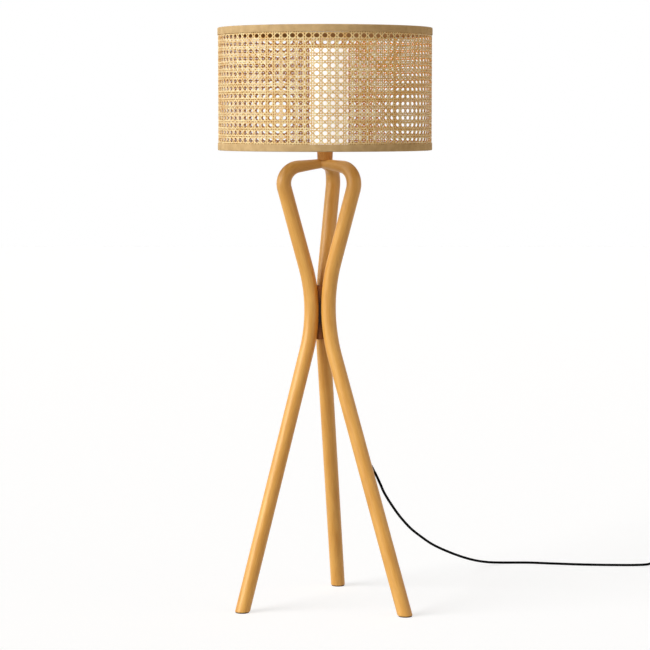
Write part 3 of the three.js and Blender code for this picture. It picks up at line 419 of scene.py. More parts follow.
def piece(name, form, material, slot, *stands_for, body="lamp", sharp=35):
    """A finished piece: its mesh, finish, body and the frame nodes that it stands for."""
    mesh = mesh_of(form, name)
    mesh.polygons.foreach_set("use_smooth", [True] * len(mesh.polygons))
    mesh.set_sharp_from_angle(angle=math.radians(sharp))
    mesh.materials.append(material)
    built = placed(name, mesh)
    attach(built, body)
    if stands_for:
        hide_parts(*stands_for)
    return built


def finish_nodes(names, material):
    """Gives frame nodes that stay as they are a finish."""
    for name in names:
        NODES[name].data.materials.clear()
        NODES[name].data.materials.append(material)


# Finishes


class Nodes:
    """Short calls that add, fill and join the nodes of a material or of the world."""

    def __init__(self, owner):
        owner.use_nodes = True
        self.owner = owner
        self.nodes = owner.node_tree.nodes

    def fill(self, node, values):
        """Sets a node's inputs, by name or number, or joins them to other nodes' outputs."""
        for key, value in values.items():
            if isinstance(value, bpy.types.NodeSocket):
                self.owner.node_tree.links.new(value, node.inputs[key])
            else:
                node.inputs[key].default_value = value
        return node

    def add(self, kind, values, output=0, **settings):
        """The output of a new node. Values go to its inputs, settings to the node itself."""
        made = self.nodes.new(f"ShaderNode{kind}")
        for key, value in settings.items():
            setattr(made, key, value)
        return self.fill(made, values).outputs[output]

    def places(self):
        return self.add("TexCoord", {}, "Object")

    def grain(self):
        """Places across and along a bar, from its grain attribute."""
        return self.add("Attribute", {}, "Vector", attribute_name="grain")

    def split(self, source):
        """The three parts of a place."""
        return self.fill(self.nodes.new("ShaderNodeSeparateXYZ"), {0: source}).outputs

    def noise(self, source, scale, detail=3, roughness=0.5, stretch=None):
        """Noise over places, which may first be stretched along their axes."""
        if stretch:
            source = self.add("Mapping", {"Scale": stretch, "Vector": source}, "Vector")
        values = {"Scale": scale, "Detail": detail, "Roughness": roughness, "Vector": source}
        return self.add("TexNoise", values, "Fac")

    def math(self, operation, *values):
        return self.add("Math", dict(enumerate(values)), operation=operation)

    def weighted(self, *pairs):
        """The sum of some values, each times its weight."""
        parts = [self.math("MULTIPLY", *pair) for pair in pairs]
        total = parts[0]
        for part in parts[1:]:
            total = self.math("ADD", total, part)
        return total

    def ramp(self, source, *stops):
        """Two colours along a value: stops are (place, colour) pairs."""
        made = self.nodes.new("ShaderNodeValToRGB")
        for element, (place, shade) in zip(made.color_ramp.elements, stops):
            element.position = place
            element.color = (*shade, 1)
        return self.fill(made, {"Fac": source}).outputs["Color"]

    def spread(self, source, low, high):
        """A value from 0 to 1 stretched to run from low to high."""
        return self.add("MapRange", {"To Min": low, "To Max": high, "Value": source}, "Result")

    def mixed(self, share, source, shade):
        """A share of a plain colour mixed in. A mix node's colours are its inputs 6 and 7 and output 2."""
        return self.add("Mix", {0: share, 6: source, 7: (*shade, 1)}, 2, data_type="RGBA")

    def bump(self, source, strength, distance):
        return self.add("Bump", {"Strength": strength, "Distance": distance, "Height": source}, "Normal")

    def to_camera(self):
        """1 for rays that show a surface to the camera, also mirrored or through glass, else 0."""
        rays = self.nodes.new("ShaderNodeLightPath").outputs
        seen = self.math("MAXIMUM", rays["Is Camera Ray"], rays["Is Glossy Ray"])
        return self.math("MAXIMUM", seen, rays["Is Transmission Ray"])


class Finish(Nodes):
    """A new material."""

    def __init__(self, name):
        super().__init__(bpy.data.materials.new(name))
        self.shader = self.nodes["Principled BSDF"]

    def done(self, colour, rough, relief=None, also=None):
        """The material, once its shader's inputs are filled."""
        self.fill(self.shader, {"Base Color": colour, "Roughness": rough, **(also or {})})
        if relief:
            self.fill(self.shader, {"Normal": relief})
        return self.owner


# Lacquer on rattan and cane reflects with a warm tint
WARM = (1, 0.86, 0.68, 1)
UPRIGHT_FIBRES = (1, 1, 0.06)


def tinted(shade, factor, lift=0.0):
    """A colour made darker or paler."""
    return tuple(min(1, channel * factor + lift) for channel in shade)


def rattan_finish(colours):
    """Lacquered rattan: fine lengthwise fibres under a satin coat, with slow changes of tone."""
    finish = Finish("rattan_pole")
    grain = finish.grain()
    fibres = finish.noise(grain, 1500, 4, 0.6, (1, 1, 0.02))
    both = finish.weighted((fibres, 0.55), (finish.noise(grain, 90, 2, stretch=(1, 1, 0.12)), 0.45))
    return finish.done(
        finish.ramp(both, (0.34, colours.rattan_deep), (0.66, colours.rattan_pale)),
        finish.spread(fibres, 0.38, 0.52), finish.bump(fibres, 0.25, 0.2 * MM),
        also={"Coat Weight": 0.08, "Coat Roughness": 0.3, "Specular IOR Level": 0.85, "Specular Tint": WARM}
    )


def turned_rattan_finish(colours):
    """Turned wood-like rattan: upright fibres and pores on object coordinates, darker than the poles as
    painted shade.
    """
    finish = Finish("turned_rattan")
    place = finish.places()
    fibres = finish.noise(place, 1400, 4, 0.6, UPRIGHT_FIBRES)
    both = finish.weighted((fibres, 0.6), (finish.noise(place, 120, 2, stretch=(1, 1, 0.3)), 0.4))
    return finish.done(
        finish.ramp(both, (0.34, colours.neck_deep_shaded), (0.66, colours.neck_pale_shaded)),
        finish.spread(fibres, 0.42, 0.6), finish.bump(fibres, 0.3, 0.2 * MM), also={"Specular Tint": WARM}
    )


def core_painted_shade_finish(colours, low, high):
    """Painted shade on rattan: nearly black at mid-height between the poles, browner towards both ends, with
    upright fibres.
    """
    finish = Finish("core_rattan")
    place = finish.places()
    level = finish.split(place)["Z"]
    off = finish.math("ABSOLUTE", finish.math("SUBTRACT", level, (low + high) / 2))
    share = finish.math("DIVIDE", off, (high - low) / 2)
    fibres = finish.noise(place, 1400, 4, 0.6, UPRIGHT_FIBRES)
    shade_with_fibres = finish.math("ADD", share, finish.math("MULTIPLY", finish.math("SUBTRACT", fibres, 0.5), 0.3))
    return finish.done(
        finish.ramp(shade_with_fibres, (0.35, colours.core), (1, colours.core_end_painted_shade)), finish.spread(fibres, 0.5, 0.7),
        finish.bump(fibres, 0.3, 0.2 * MM), also={"Specular IOR Level": 0.3}
    )


def cane_finish(colours, half_width):
    """Split cane: a pale skin with fine lines and darker cut edges, each strand of its own tone."""
    finish = Finish("cane_strand")
    grain = finish.grain()
    outward, sideways_part, _ = finish.split(grain)
    off = finish.math("DIVIDE", finish.math("ABSOLUTE", sideways_part), half_width)
    edge = finish.math("MAXIMUM", finish.math("SUBTRACT", off, 0.4), 0)
    edge = finish.math("MULTIPLY", finish.math("SMOOTH_MIN", edge, 0.4, 0.1), 1.3)
    strand = finish.add("Attribute", {}, "Fac", attribute_name="tone")
    lines = finish.noise(grain, 2600, stretch=(1, 1, 0.03))
    patches = finish.noise(finish.places(), 55, 2)
    both = finish.math("SUBTRACT", finish.weighted((strand, 0.16), (lines, 0.4), (patches, 0.6)), edge)
    skin = finish.ramp(both, (0.1, colours.cane_deep), (0.7, colours.cane_pale))
    # The strands' inner side: dull pith, darkened further as painted shade
    return finish.done(
        finish.mixed(finish.math("LESS_THAN", outward, 0), skin, colours.cane_pith_and_shade),
        finish.spread(lines, 0.3, 0.48), finish.bump(lines, 0.2, 0.1 * MM),
        also={"Specular IOR Level": 0.35, "Specular Tint": (1, 0.76, 0.46, 1)}
    )


TAPE_RIBS = 900
TAPE_THREAD = 1.1 * MM


def tape_finish(colours, inside, skin):
    """Woven tape: upright ribs round the shade, crossed by fine threads, with painted shade browning its
    inner side.
    """
    finish = Finish("woven_tape")
    place = finish.places()
    x, y, z = finish.split(place)
    ribs = finish.math("SINE", finish.math("MULTIPLY", finish.math("ARCTAN2", y, x), TAPE_RIBS))
    threads = finish.math("SINE", finish.math("MULTIPLY", z, 2 * math.pi / TAPE_THREAD))
    crossed = finish.math("ADD", ribs, finish.math("MULTIPLY", threads, 0.35))
    height = finish.math("ADD", finish.math("MULTIPLY", crossed, 0.33), 0.5)
    soil = finish.noise(place, 60)
    both = finish.weighted((height, 0.5), (soil, 0.5), (finish.noise(place, 1800, 2), 0.15))
    outer = finish.ramp(both, (0.25, colours.tape_deep), (0.8, colours.tape_pale))
    # Painted shade: towards the inner side the tape turns a darker brown
    squares = finish.math("ADD", finish.math("MULTIPLY", x, x), finish.math("MULTIPLY", y, y))
    inwards = finish.math("SUBTRACT", inside, finish.math("SQRT", squares))
    inner = finish.math("MAXIMUM", finish.math("DIVIDE", inwards, skin / 2), 0)
    return finish.done(
        finish.mixed(finish.math("MINIMUM", inner, 1), outer, colours.tape_inside_shade), 0.85,
        finish.bump(height, 0.5, 0.25 * MM), also={"Specular IOR Level": 0.3}
    )


def moulded_finish(name, shade, roughness, grain=0.12):
    """Moulded plastic: an even colour with slight unevenness and a fine tool grain."""
    finish = Finish(name)
    place = finish.places()
    cloud = finish.noise(place, 40)
    return finish.done(
        finish.ramp(cloud, (0.3, tinted(shade, 0.94)), (0.7, tinted(shade, 1.06, 0.003))),
        finish.spread(cloud, roughness - 0.06, roughness + 0.08),
        finish.bump(finish.noise(place, 900, 2), grain, 0.1 * MM),
    )


def cord_finish(colours):
    """The cord's sheath: soft black with faint lengthwise draw lines and dust."""
    finish = Finish("cord_sheath")
    lines = finish.noise(finish.grain(), 1800, 2, stretch=(1, 1, 0.05))
    dust = finish.noise(finish.places(), 120, 4, 0.6)
    return finish.done(
        finish.ramp(dust, (0.4, colours.cord), (0.75, tinted(colours.cord, 2, 0.002))),
        finish.spread(dust, 0.48, 0.66), finish.bump(lines, 0.15, 0.1 * MM),
        also={"Specular IOR Level": 0.1, "IOR": 1.15}
    )


def opal_finish(colours):
    """Opal plastic: white, with a painted glow that stands in for light inside the shade, and a smooth skin.
    """
    finish = Finish("opal_diffuser")
    cloud = finish.noise(finish.places(), 25, 2)
    # Painted light: the emission makes the diffuser glow, standing in for light inside the lampshade
    glow = (1, 0.985, 0.96)
    warm = [channel * share for channel, share in zip(colours.opal, glow)]
    return finish.done(
        finish.ramp(cloud, (0.3, warm), (0.7, colours.opal)), finish.spread(cloud, 0.24, 0.34),
        also={"Emission Color": (*glow, 1), "Emission Strength": 0.6}
    )


def metal_finish(name, shade, roughness):
    """Plated metal: fine scratches in all directions and slight tarnish."""
    finish = Finish(name)
    place = finish.places()
    tarnish = finish.noise(place, 90, 4, 0.6)
    return finish.done(
        finish.ramp(tarnish, (0.35, tinted(shade, 0.78)), (0.65, shade)),
        finish.spread(tarnish, roughness - 0.08, roughness + 0.12),
        finish.bump(finish.noise(place, 700, stretch=(1, 8, 3)), 0.1, 0.05 * MM), also={"Metallic": 1}
    )


def felt_finish(colours):
    """Pressed felt: matt, with short fibres."""
    finish = Finish("felt_pad")
    fibres = finish.noise(finish.places(), 1500, 5, 0.7)
    colour_ramp = finish.ramp(fibres, (0.35, colours.felt), (0.65, tinted(colours.felt, 1.7)))
    return finish.done(colour_ramp, 0.95, finish.bump(fibres, 0.8, 0.3 * MM), {"Sheen Weight": 0.3})


def glass_finish(colours):
    """Frosted bulb glass."""
    finish = Finish("bulb_glass")
    cloud = finish.noise(finish.places(), 300)
    return finish.done(
        finish.ramp(cloud, (0.3, tinted(colours.opal, 0.95)), (0.7, colours.opal)),
        finish.spread(cloud, 0.16, 0.26), also={"IOR": 1.5, "Coat Weight": 0.3, "Coat Roughness": 0.08}
    )


# The poles' routes, shared by the poles, the inner lead and the cord


def level_corner(sizes, side, twist, radius, height, shift):
    azimuth = getattr(sizes, f"{side}_azimuth")
    corner = heading_of(azimuth + twist) * radius
    return Vector((corner.x + shift, corner.y, height))


def corners_at(sizes, side, waist_radius):
    hub = Vector((sizes.hub_shift, 0, sizes.hub_height))
    loop_height = sizes.hub_height - sizes.loop_drop
    loop = level_corner(sizes, side, sizes.loop_twist, sizes.loop_radius, loop_height, sizes.loop_shift)
    waist = level_corner(sizes, side, sizes.waist_twist, waist_radius, sizes.waist_height, sizes.waist_shift)
    foot = level_corner(sizes, side, sizes.foot_twist, sizes.foot_radius, 0, sizes.foot_shift)
    return hub, loop, waist, foot


def waist_rounding(sizes, side, waist_radius):
    """How much further out than its corner the waist bend passes."""
    _, loop, waist, foot = corners_at(sizes, side, waist_radius)
    turn = (waist - loop).angle(foot - waist)
    return sizes.waist_bend * (1 / math.cos(turn / 2) - 1)


WAIST_ROUNDS = 12


def pole_corners(sizes, side):
    """A pole's corners. The waist corner lies so that the bends pass the axis at the chosen distance."""
    radius = sizes.waist_near
    for _ in range(WAIST_ROUNDS):
        roundings = [waist_rounding(sizes, one, radius) for one in SIDES]
        radius = sizes.waist_near - sum(roundings) / len(roundings)
    return corners_at(sizes, side, radius)


def pole_radius(sizes, along):
    gained = (sizes.diameter - sizes.hub_diameter) * eased(min(along / sizes.taper, 1))
    return (sizes.hub_diameter + gained) / 2


def sideways(corners):
    return (corners[1] - corners[0]).cross(UPRIGHT).normalized()


def round_stations(run, reference, radius_at):
    """Stations of a round bar along points with headings. Its radius goes by the length so far."""
    places = []
    along = 0
    last = run[0][0]
    for point, heading in run:
        along += (point - last).length
        last = point
        radius = radius_at(along)
        places.append(station(point, heading, reference, (radius, radius), along))
    return places


POLE_SIDES = 36
POLE_STEP = 9 * MM
POLE_BEND_STEP = math.radians(3)


def pole_places(sizes, side, extra=0.0):
    corners = pole_corners(sizes, side)
    hub, loop, waist, foot = corners
    past_hub = hub - (loop - hub).normalized() * sizes.hub_diameter / 2
    past_foot = foot + (foot - waist).normalized() * sizes.diameter / 2
    bends = [sizes.loop_bend, sizes.waist_bend]
    run = bent_run([past_hub, loop, waist, past_foot], bends, POLE_STEP, POLE_BEND_STEP)
    return round_stations(run, sideways(corners), lambda along: pole_radius(sizes, along) + extra)


def pole_cutters(sizes):
    """Bars that leave room for the poles in a piece that is scribed to them."""
    return [bar_along(pole_places(sizes, side, SEAT_GAP), POLE_SIDES) for side in SIDES]


# The cord's own route along the floor, as laid by hand
CORD_POINTS = [
    (125.0, -26.0, 282.5), (132.0, -12.0, 264.5),
    (142.0, 9.0, 244.0), (153.0, 34.0, 223.5), (166.0, 62.0, 201.0), (182.0, 98.0, 176.0),
    (201.0, 138.0, 150.0), (227.0, 188.0, 121.5), (258.0, 248.0, 91.0), (303.0, 323.0, 57.5),
    (345.0, 384.0, 32.0), (378.0, 425.0, 16.5), (410.0, 453.0, 7.5), (446.0, 469.0, 3.6),
    (506.0, 471.0, 3.1), (565.0, 460.0, 3.1), (640.0, 447.0, 3.1), (715.0, 441.0, 3.1),
    (775.0, 440.0, 3.4), (800.0, 440.0, 5.2),
]  # fmt: skip
EXIT_AZIMUTH = math.radians(24)
EXIT_DIP = math.radians(56)
EXIT_TURN_HEIGHT = 366 * MM
EXIT_TURN_RADIUS = 34 * MM
RELIEF_LENGTH = 24 * MM
RELIEF_SINK = 7 * MM


def exit_places(sizes):
    """Where the lead turns out of the right pole, its heading there and the mouth in the pole's skin."""
    _, _, waist, foot = pole_corners(sizes, "right")
    leg = (foot - waist).normalized()
    turn = waist + leg * (EXIT_TURN_HEIGHT - waist.z) / leg.z
    heading = heading_of(EXIT_AZIMUTH, EXIT_DIP)
    mouth = turn + heading * (sizes.diameter / 2) / math.sin(heading.angle(leg))
    return turn, heading, mouth


def smooth_points(points, samples=8):
    """A centripetal curve through points, as a denser run of points."""
    ends = [points[0] * 2 - points[1], *points, points[-1] * 2 - points[-2]]
    out = [points[0]]
    for before, start, end, after in zip(ends, ends[1:], ends[2:], ends[3:]):
        first, middle, last = [
            math.sqrt((b - a).length) for a, b in ((before, start), (start, end), (end, after))
        ]
        leave = (start - before) / first - (end - before) / (first + middle) + (end - start) / middle
        arrive = (end - start) / middle - (after - start) / (middle + last) + (after - end) / last
        run = interpolate_bezier(
            start, start + leave * middle / 3, end - arrive * middle / 3, end, samples + 1
        )
        out.extend(run[1:])
    return out


SENSOR_WIDTH = 36


class LAMP_OT_camera(bpy.types.Operator):
    """Sets up the camera at the photograph's viewing angle"""

    bl_idname = "lamp.camera"
    bl_label = "Camera"

    def execute(self, context):
        view = context.scene.lamp_view
        data = bpy.data.cameras.new("camera")
        data.sensor_width = SENSOR_WIDTH
        data.lens = view.lens
        camera = placed("camera", data)
        camera.location = view.place
        camera.rotation_euler = (math.pi / 2 - view.pitch, 0, 0)
        context.scene.camera = camera
        return {"FINISHED"}


SLEEVE_BASE = 4.7 * MM
SLEEVE_TIP = 3.7 * MM
SLEEVE_RIBS = 4
RIBBED_SHARE = 0.78
GROOVE_SHARE = 0.86


def sleeve_piece(name, stands_for, root, heading, length, sink=0.0):
    """A tapered strain relief with shallow grooves, sunk by its root."""
    profile = [(0, -sink), (SLEEVE_BASE, -sink), (SLEEVE_BASE, 0.08 * length)]
    width = length * RIBBED_SHARE / SLEEVE_RIBS
    for rib in range(SLEEVE_RIBS):
        share = 0.12 + RIBBED_SHARE * rib / SLEEVE_RIBS
        radius = SLEEVE_BASE + (SLEEVE_TIP - SLEEVE_BASE) * share
        for thick, part in ((1, 0), (1, 0.6), (GROOVE_SHARE, 0.68), (GROOVE_SHARE, 0.92)):
            profile.append((radius * thick, length * share + part * width))
    profile += [(SLEEVE_TIP, 0.92 * length), (SLEEVE_TIP, length), (0, length)]
    form = pointed(turned(rounded(profile, 0.35 * MM, 2), 28), root, heading)
    return piece(name, form, bpy.data.materials["soft_rubber"], "cord_black", stands_for)


CORD_SIDES = 14


class LAMP_OT_floor_cord(bpy.types.Operator):
    """Builds the cord from the pole down to the floor and along it to the foot switch"""

    bl_idname = "lamp.floor_cord"
    bl_label = "Floor cord"

    def execute(self, context):
        colours = context.scene.lamp_colours
        sizes = context.scene.lamp_cord
        sheath = cord_finish(colours)
        moulded_finish("soft_rubber", colours.cord, 0.62)
        _, heading, mouth = exit_places(context.scene.lamp_poles)
        start = mouth + heading * (RELIEF_LENGTH + SEAT_GAP)
        end = Vector((node_low("switch_relief_in").x - SEAT_GAP, *node_middle("switch_relief_in")[1:]))
        lead_in = Vector((sizes.diameter, 0, 0))
        laid = [Vector(point) * MM for point in CORD_POINTS]
        points = smooth_points([start, start + heading * sizes.diameter, *laid, end - lead_in, end])
        form = rod(points, sizes.diameter / 2, CORD_SIDES)
        cord = piece("floor_cord", form, sheath, "cord_black", "cord_floor")
        relief = sleeve_piece("exit_sleeve", "exit_relief", mouth, heading, RELIEF_LENGTH, RELIEF_SINK)
        return {"FINISHED"}


def coil_points(sizes, centre, floor, steps):
    """A spiral in, half a turn that climbs a layer, and a spiral out again."""
    out = []
    last = 2 * sizes.coil_turns + 0.5
    count = round(last * steps)
    for step in range(count + 1):
        turn = last * step / count
        reverse = min(max(turn - sizes.coil_turns, 0) * 2, 1)
        outward = turn > sizes.coil_turns + 0.5
        turns_out = turn - sizes.coil_turns - 0.5 if outward else 0
        dip = 0 if outward else sizes.coil_dip * math.sin(math.pi * reverse)
        turns_in = min(turn, sizes.coil_turns)
        radius = sizes.coil_radius - sizes.coil_pitch * (turns_in - turns_out) - dip
        lift = sizes.coil_pitch * (1 - math.cos(math.pi * reverse)) / 2
        swing = math.pi / 2 - 2 * math.pi * turn
        out.append(centre + Vector((radius * math.cos(swing), radius * math.sin(swing), floor + lift)))
    return out


class LAMP_OT_wound_cord(bpy.types.Operator):
    """Builds the cord behind the foot switch: its link, its coil and its tail to the plug"""

    bl_idname = "lamp.wound_cord"
    bl_label = "Wound cord"

    def execute(self, context):
        sizes = context.scene.lamp_cord
        radius = sizes.diameter / 2
        ahead = Vector((sizes.diameter, 0, 0))
        start = node_middle("switch_relief_out")
        start.x = node_high("switch_relief_out").x + SEAT_GAP
        coil_low, coil_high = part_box("cord_coil")
        floor = coil_low.z + radius
        centre = Vector((coil_high.x - sizes.coil_radius - radius, start.y - sizes.coil_radius, 0))
        wound = coil_points(sizes, centre, floor, 40)
        link_end = wound[0] - ahead
        link = interpolate_bezier(start, start + ahead, link_end - ahead, link_end, 8)
        plug_end = node_middle("plug_relief")
        plug_end.x = node_high("plug_relief").x + SEAT_GAP
        tail_start = wound[-1] - ahead
        reach = Vector(((tail_start.x - plug_end.x) / 2, 0, 0))
        tail = interpolate_bezier(tail_start, tail_start - reach, plug_end + reach, plug_end, 16)
        points = [*link, *wound, *tail]
        form = rod(points, radius, CORD_SIDES)
        sheath = bpy.data.materials["cord_sheath"]
        cord = piece("wound_cord", form, sheath, "cord_black", "cord_link", "cord_coil", "cord_tail")
        band = self.band(context.scene.lamp_colours)
        return {"FINISHED"}

    def band(self, colours):
        """The rubber band round the coil."""
        low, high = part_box("coil_tie")
        size = high - low
        middle = (low + high) / 2
        tie = block(size, middle)
        bevelled(tie, tie.edges, 2.5 * MM, 5)
        wall = 0.9 * MM
        room = block(Vector((size.x - 2 * wall, size.y * 2, size.z - 2 * wall)), middle)
        bevelled(room, edges_along(room, 1, size.y), 1.8 * MM, 5)
        rubber = moulded_finish("band_rubber", colours.black, 0.6)
        return piece("coil_band", carved(tie, room), rubber, "black_plastic", "coil_tie")


class LAMP_OT_plug(bpy.types.Operator):
    """Builds the moulded plug with its sleeve and two pins"""

    bl_idname = "lamp.plug"
    bl_label = "Plug"

    def execute(self, context):
        colours = context.scene.lamp_colours
        low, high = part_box("plug_body")
        middle = (low + high) / 2
        size = high - low
        back_share = 0.6
        form = block(size, middle)
        # The sides draw in towards the cord: straight at first, then in a curve
        for vert in form.verts:
            if vert.co.x > middle.x:
                vert.co.y = middle.y + (vert.co.y - middle.y) * back_share
        long_sides = edges_along(form, 0, size.x / 2)
        bmesh.ops.subdivide_edges(form, edges=long_sides, cuts=6, use_grid_fill=True)
        for vert in form.verts:
            share = (vert.co.x - low.x) / size.x
            half = size.y / 2 * (1 - (1 - back_share) * max(0, min(1, (share - 0.35) / 0.5)) ** 1.5)
            side = 1 if vert.co.y > middle.y else -1
            vert.co.y = middle.y + side * half
        bevelled(form, folds(form, math.radians(50)), 2.2 * MM, 5)
        plastic = moulded_finish("plug_plastic", colours.black, 0.42)
        piece("moulded_plug", form, plastic, "black_plastic", "plug_body", sharp=50)
        relief_low, relief_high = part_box("plug_relief")
        root = Vector((relief_low.x, middle.y, middle.z))
        sleeve_piece("plug_sleeve", "plug_relief", root, Vector((1, 0, 0)), relief_high.x - relief_low.x)
        steel = metal_finish("pin_metal", colours.steel, 0.25)
        collar = moulded_finish("pin_collar", colours.black, 0.45)
        for word in ("left", "right"):
            pin_low, pin_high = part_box(f"plug_pin_{word}")
            run = pin_high.x - pin_low.x
            radius = (pin_high.y - pin_low.y) / 2
            start = Vector((pin_high.x, (pin_low.y + pin_high.y) / 2, middle.z))
            covered = run - 9 * MM
            metal = [(0, covered), (radius, covered), (radius, run - radius), (radius / 2, run), (0, run)]
            pin = turned(rounded(metal, 0.8 * MM, 4), 24)
            cover = turned(rounded(post(radius * 0.9, 0, covered), 0.2 * MM, 2), 24)
            for item in (pin, cover):
                pointed(item, start, Vector((-1, 0, 0)))
            piece(f"pin_{word}", pin, steel, "steel", f"plug_pin_{word}")
            piece(f"pin_sleeve_{word}", cover, collar, "black_plastic")
        return {"FINISHED"}


# Just under half the width, so that the two round corners of an end don't meet
ROUND_END = 0.4999


def stadium(length, width, bottom, top, place):
    """A block with round ends, upright, its length along X."""
    form = block((length, width, top - bottom), Vector((place.x, place.y, (bottom + top) / 2)))
    return bevelled(form, edges_along(form, 2, (top - bottom) / 2), ROUND_END * width, 14)


def eased_rim(form, height, offset, segments):
    """The form with its sharp edges at one height rounded."""
    rim = [
        edge
        for edge in folds(form, math.radians(40))
        if all(abs(vert.co.z - height) < MERGE_DISTANCE for vert in edge.verts)
    ]
    return bevelled(form, rim, offset, segments)


class LAMP_OT_foot_switch(bpy.types.Operator):
    """Builds the in-line foot switch: base, cover, button and sleeves"""

    bl_idname = "lamp.foot_switch"
    bl_label = "Foot switch"

    def execute(self, context):
        colours = context.scene.lamp_colours
        plastic = moulded_finish("switch_plastic", colours.black, 0.4)
        low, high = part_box("switch_base")
        place = (low + high) / 2
        level = Vector((place.x, place.y, 0))
        length_x = high.x - low.x
        width_y = high.y - low.y
        wall = 2 * MM
        edge = 3 * MM
        cord_level = node_middle("switch_relief_in").z
        ends = {}
        passages = []
        for word, end in (("in", -1), ("out", 1)):
            root = Vector((place.x + end * length_x / 2, place.y, cord_level))
            ends[word] = (root, Vector((end, 0, 0)))
            passages.append(pointed(turned(post(5 * MM, -12 * MM, 6 * MM), 28), *ends[word]))
        base = eased_rim(stadium(length_x, width_y, low.z, high.z, place), low.z, 0.8 * MM, 3)
        hollow = stadium(length_x - 2 * wall, width_y - 2 * wall, low.z + wall, high.z + edge, place)
        tray = carved(base, hollow, *[channel.copy() for channel in passages])
        piece("switch_tray", tray, plastic, "black_plastic", "switch_base")
        cover_low, cover_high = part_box("switch_cover")
        cover = stadium(length_x, width_y, cover_low.z, cover_high.z, place)
        eased_rim(cover, cover_high.z, edge, 6)
        thick = 2 * wall + edge
        roof = cover_high.z - wall
        inside = stadium(length_x - thick, width_y - thick, cover_low.z - edge, roof, place)
        button_radius = 12 * MM
        hole = turned_at(post(button_radius + SEAT_GAP, roof - edge, cover_high.z + edge), level, 56)
        shell = carved(cover, inside, hole, *passages)
        piece("switch_shell", shell, plastic, "black_plastic", "switch_cover")
        button_low, button_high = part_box("switch_button")
        flange = (button_high.x - button_low.x) / 2
        flange_top = roof - SEAT_GAP
        dish = 0.7 * MM
        profile = [
            (0, button_low.z), (flange, button_low.z), (flange, flange_top), (button_radius, flange_top),
            (button_radius, button_high.z), (button_radius * 0.8, button_high.z - 0.1 * MM),
            (button_radius * 0.55, button_high.z - dish), (0, button_high.z - dish)
        ]
        cap = turned_at(rounded(profile, 0.9 * MM, 5, keep=(1, 2, 3)), level, 56)
        finish = moulded_finish("button_plastic", tinted(colours.black, 1.5), 0.5)
        piece("foot_button_cap", cap, finish, "black_plastic", "switch_button", body="foot_button")
        for word, (root, heading) in ends.items():
            name = f"switch_relief_{word}"
            outer = node_high(name).x if heading.x > 0 else node_low(name).x
            sleeve_piece(f"switch_sleeve_{word}", name, root, heading, abs(outer - root.x), 5 * MM)
        finish_nodes(["switch_block"], plastic)
        steel = metal_finish("spring_metal", colours.steel, 0.3)
        finish_nodes(["switch_screw_in", "switch_screw_out"], steel)
        self.spring(steel)
        return {"FINISHED"}

    @staticmethod
    def spring(steel):
        """The coil under the button, shorter by the button's travel when it is pressed."""
        low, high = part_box("switch_spring")
        wire = 1 * MM
        curls = 4
        steps = 28
        reach = (high.x - low.x - wire) / 2
        seat = Vector(((low.x + high.x) / 2, (low.y + high.y) / 2, low.z))
        climb = high.z - low.z - wire
        points = []
        for step in range(curls * steps + 1):
            turn = 2 * math.pi * step / steps
            rise = wire / 2 + climb * step / (curls * steps)
            points.append(seat + Vector((reach * math.cos(turn), reach * math.sin(turn), rise)))
        made = piece("button_spring", rod(points, wire / 2, 10), steel, "steel", "switch_spring")
        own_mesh(made)


class LAMP_OT_poles(bpy.types.Operator):
    """Builds the three bent poles, mitred at the hub and cut flat at the floor"""

    bl_idname = "lamp.poles"
    bl_label = "Poles"

    def execute(self, context):
        sizes = context.scene.lamp_poles
        skin = rattan_finish(context.scene.lamp_colours)
        floor = Vector((0, 0, node_high("foot_pad_left").z + SEAT_GAP))
        near = 100 * MM
        for side in SIDES:
            form = bar_along(pole_places(sizes, side), POLE_SIDES)
            hub = pole_corners(sizes, side)[0]
            azimuth = getattr(sizes, f"{side}_azimuth") + sizes.loop_twist
            for turn in (-1, 1):
                edge = azimuth + turn * math.pi / 3
                outward = Vector((-turn * math.sin(edge), turn * math.cos(edge), 0))
                self.cut_flat(form, hub - outward * SEAT_GAP / 2, outward, lambda z: z > hub.z - near)
            self.cut_flat(form, floor, -UPRIGHT, lambda z: z < near)
            piece(f"rattan_{side}", form, skin, "rattan", f"pole_{side}")
        return {"FINISHED"}

    def cut_flat(self, form, place, outward, within):
        """Cuts off what lies beyond a plane, within some heights, and closes the cut with an eased rim."""
        verts = [vert for vert in form.verts if within(vert.co.z)]
        chosen = set(verts)
        edges = [edge for edge in form.edges if set(edge.verts) <= chosen]
        faces = [face for face in form.faces if set(face.verts) <= chosen]
        made = bmesh.ops.bisect_plane(
            form, geom=verts + edges + faces, dist=MERGE_DISTANCE, plane_co=place, plane_no=outward,
            clear_outer=True
        )["geom_cut"]
        rim = [item for item in made if isinstance(item, bmesh.types.BMEdge)]
        open_rim = [edge for edge in rim if len(edge.link_faces) == 1]
        bmesh.ops.contextual_create(form, geom=open_rim)
        bevelled(form, open_rim, 0.5 * MM, 2)


class LAMP_OT_neck(bpy.types.Operator):
    """Builds the turned neck, scribed to the tops of the poles"""

    bl_idname = "lamp.neck"
    bl_label = "Neck"

    def execute(self, context):
        sizes = context.scene.lamp_poles
        low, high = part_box("neck")
        bottom_radius = sizes.neck_bottom / 2
        top_radius = (high.x - low.x) / 2
        profile = [
            (0, low.z), (bottom_radius, low.z), (top_radius - 0.2 * MM, high.z - 3 * MM),
            (top_radius, high.z - 2 * MM), (top_radius, high.z), (0, high.z)
        ]
        form = turned(rounded(profile, 0.9 * MM, 3, keep=(1,)), 64)
        finish = turned_rattan_finish(context.scene.lamp_colours)
        piece("turned_neck", carved(form, *pole_cutters(sizes)), finish, "rattan", "neck")
        finish_nodes([f"waist_dowel_{side}" for side in SIDES], finish)
        return {"FINISHED"}


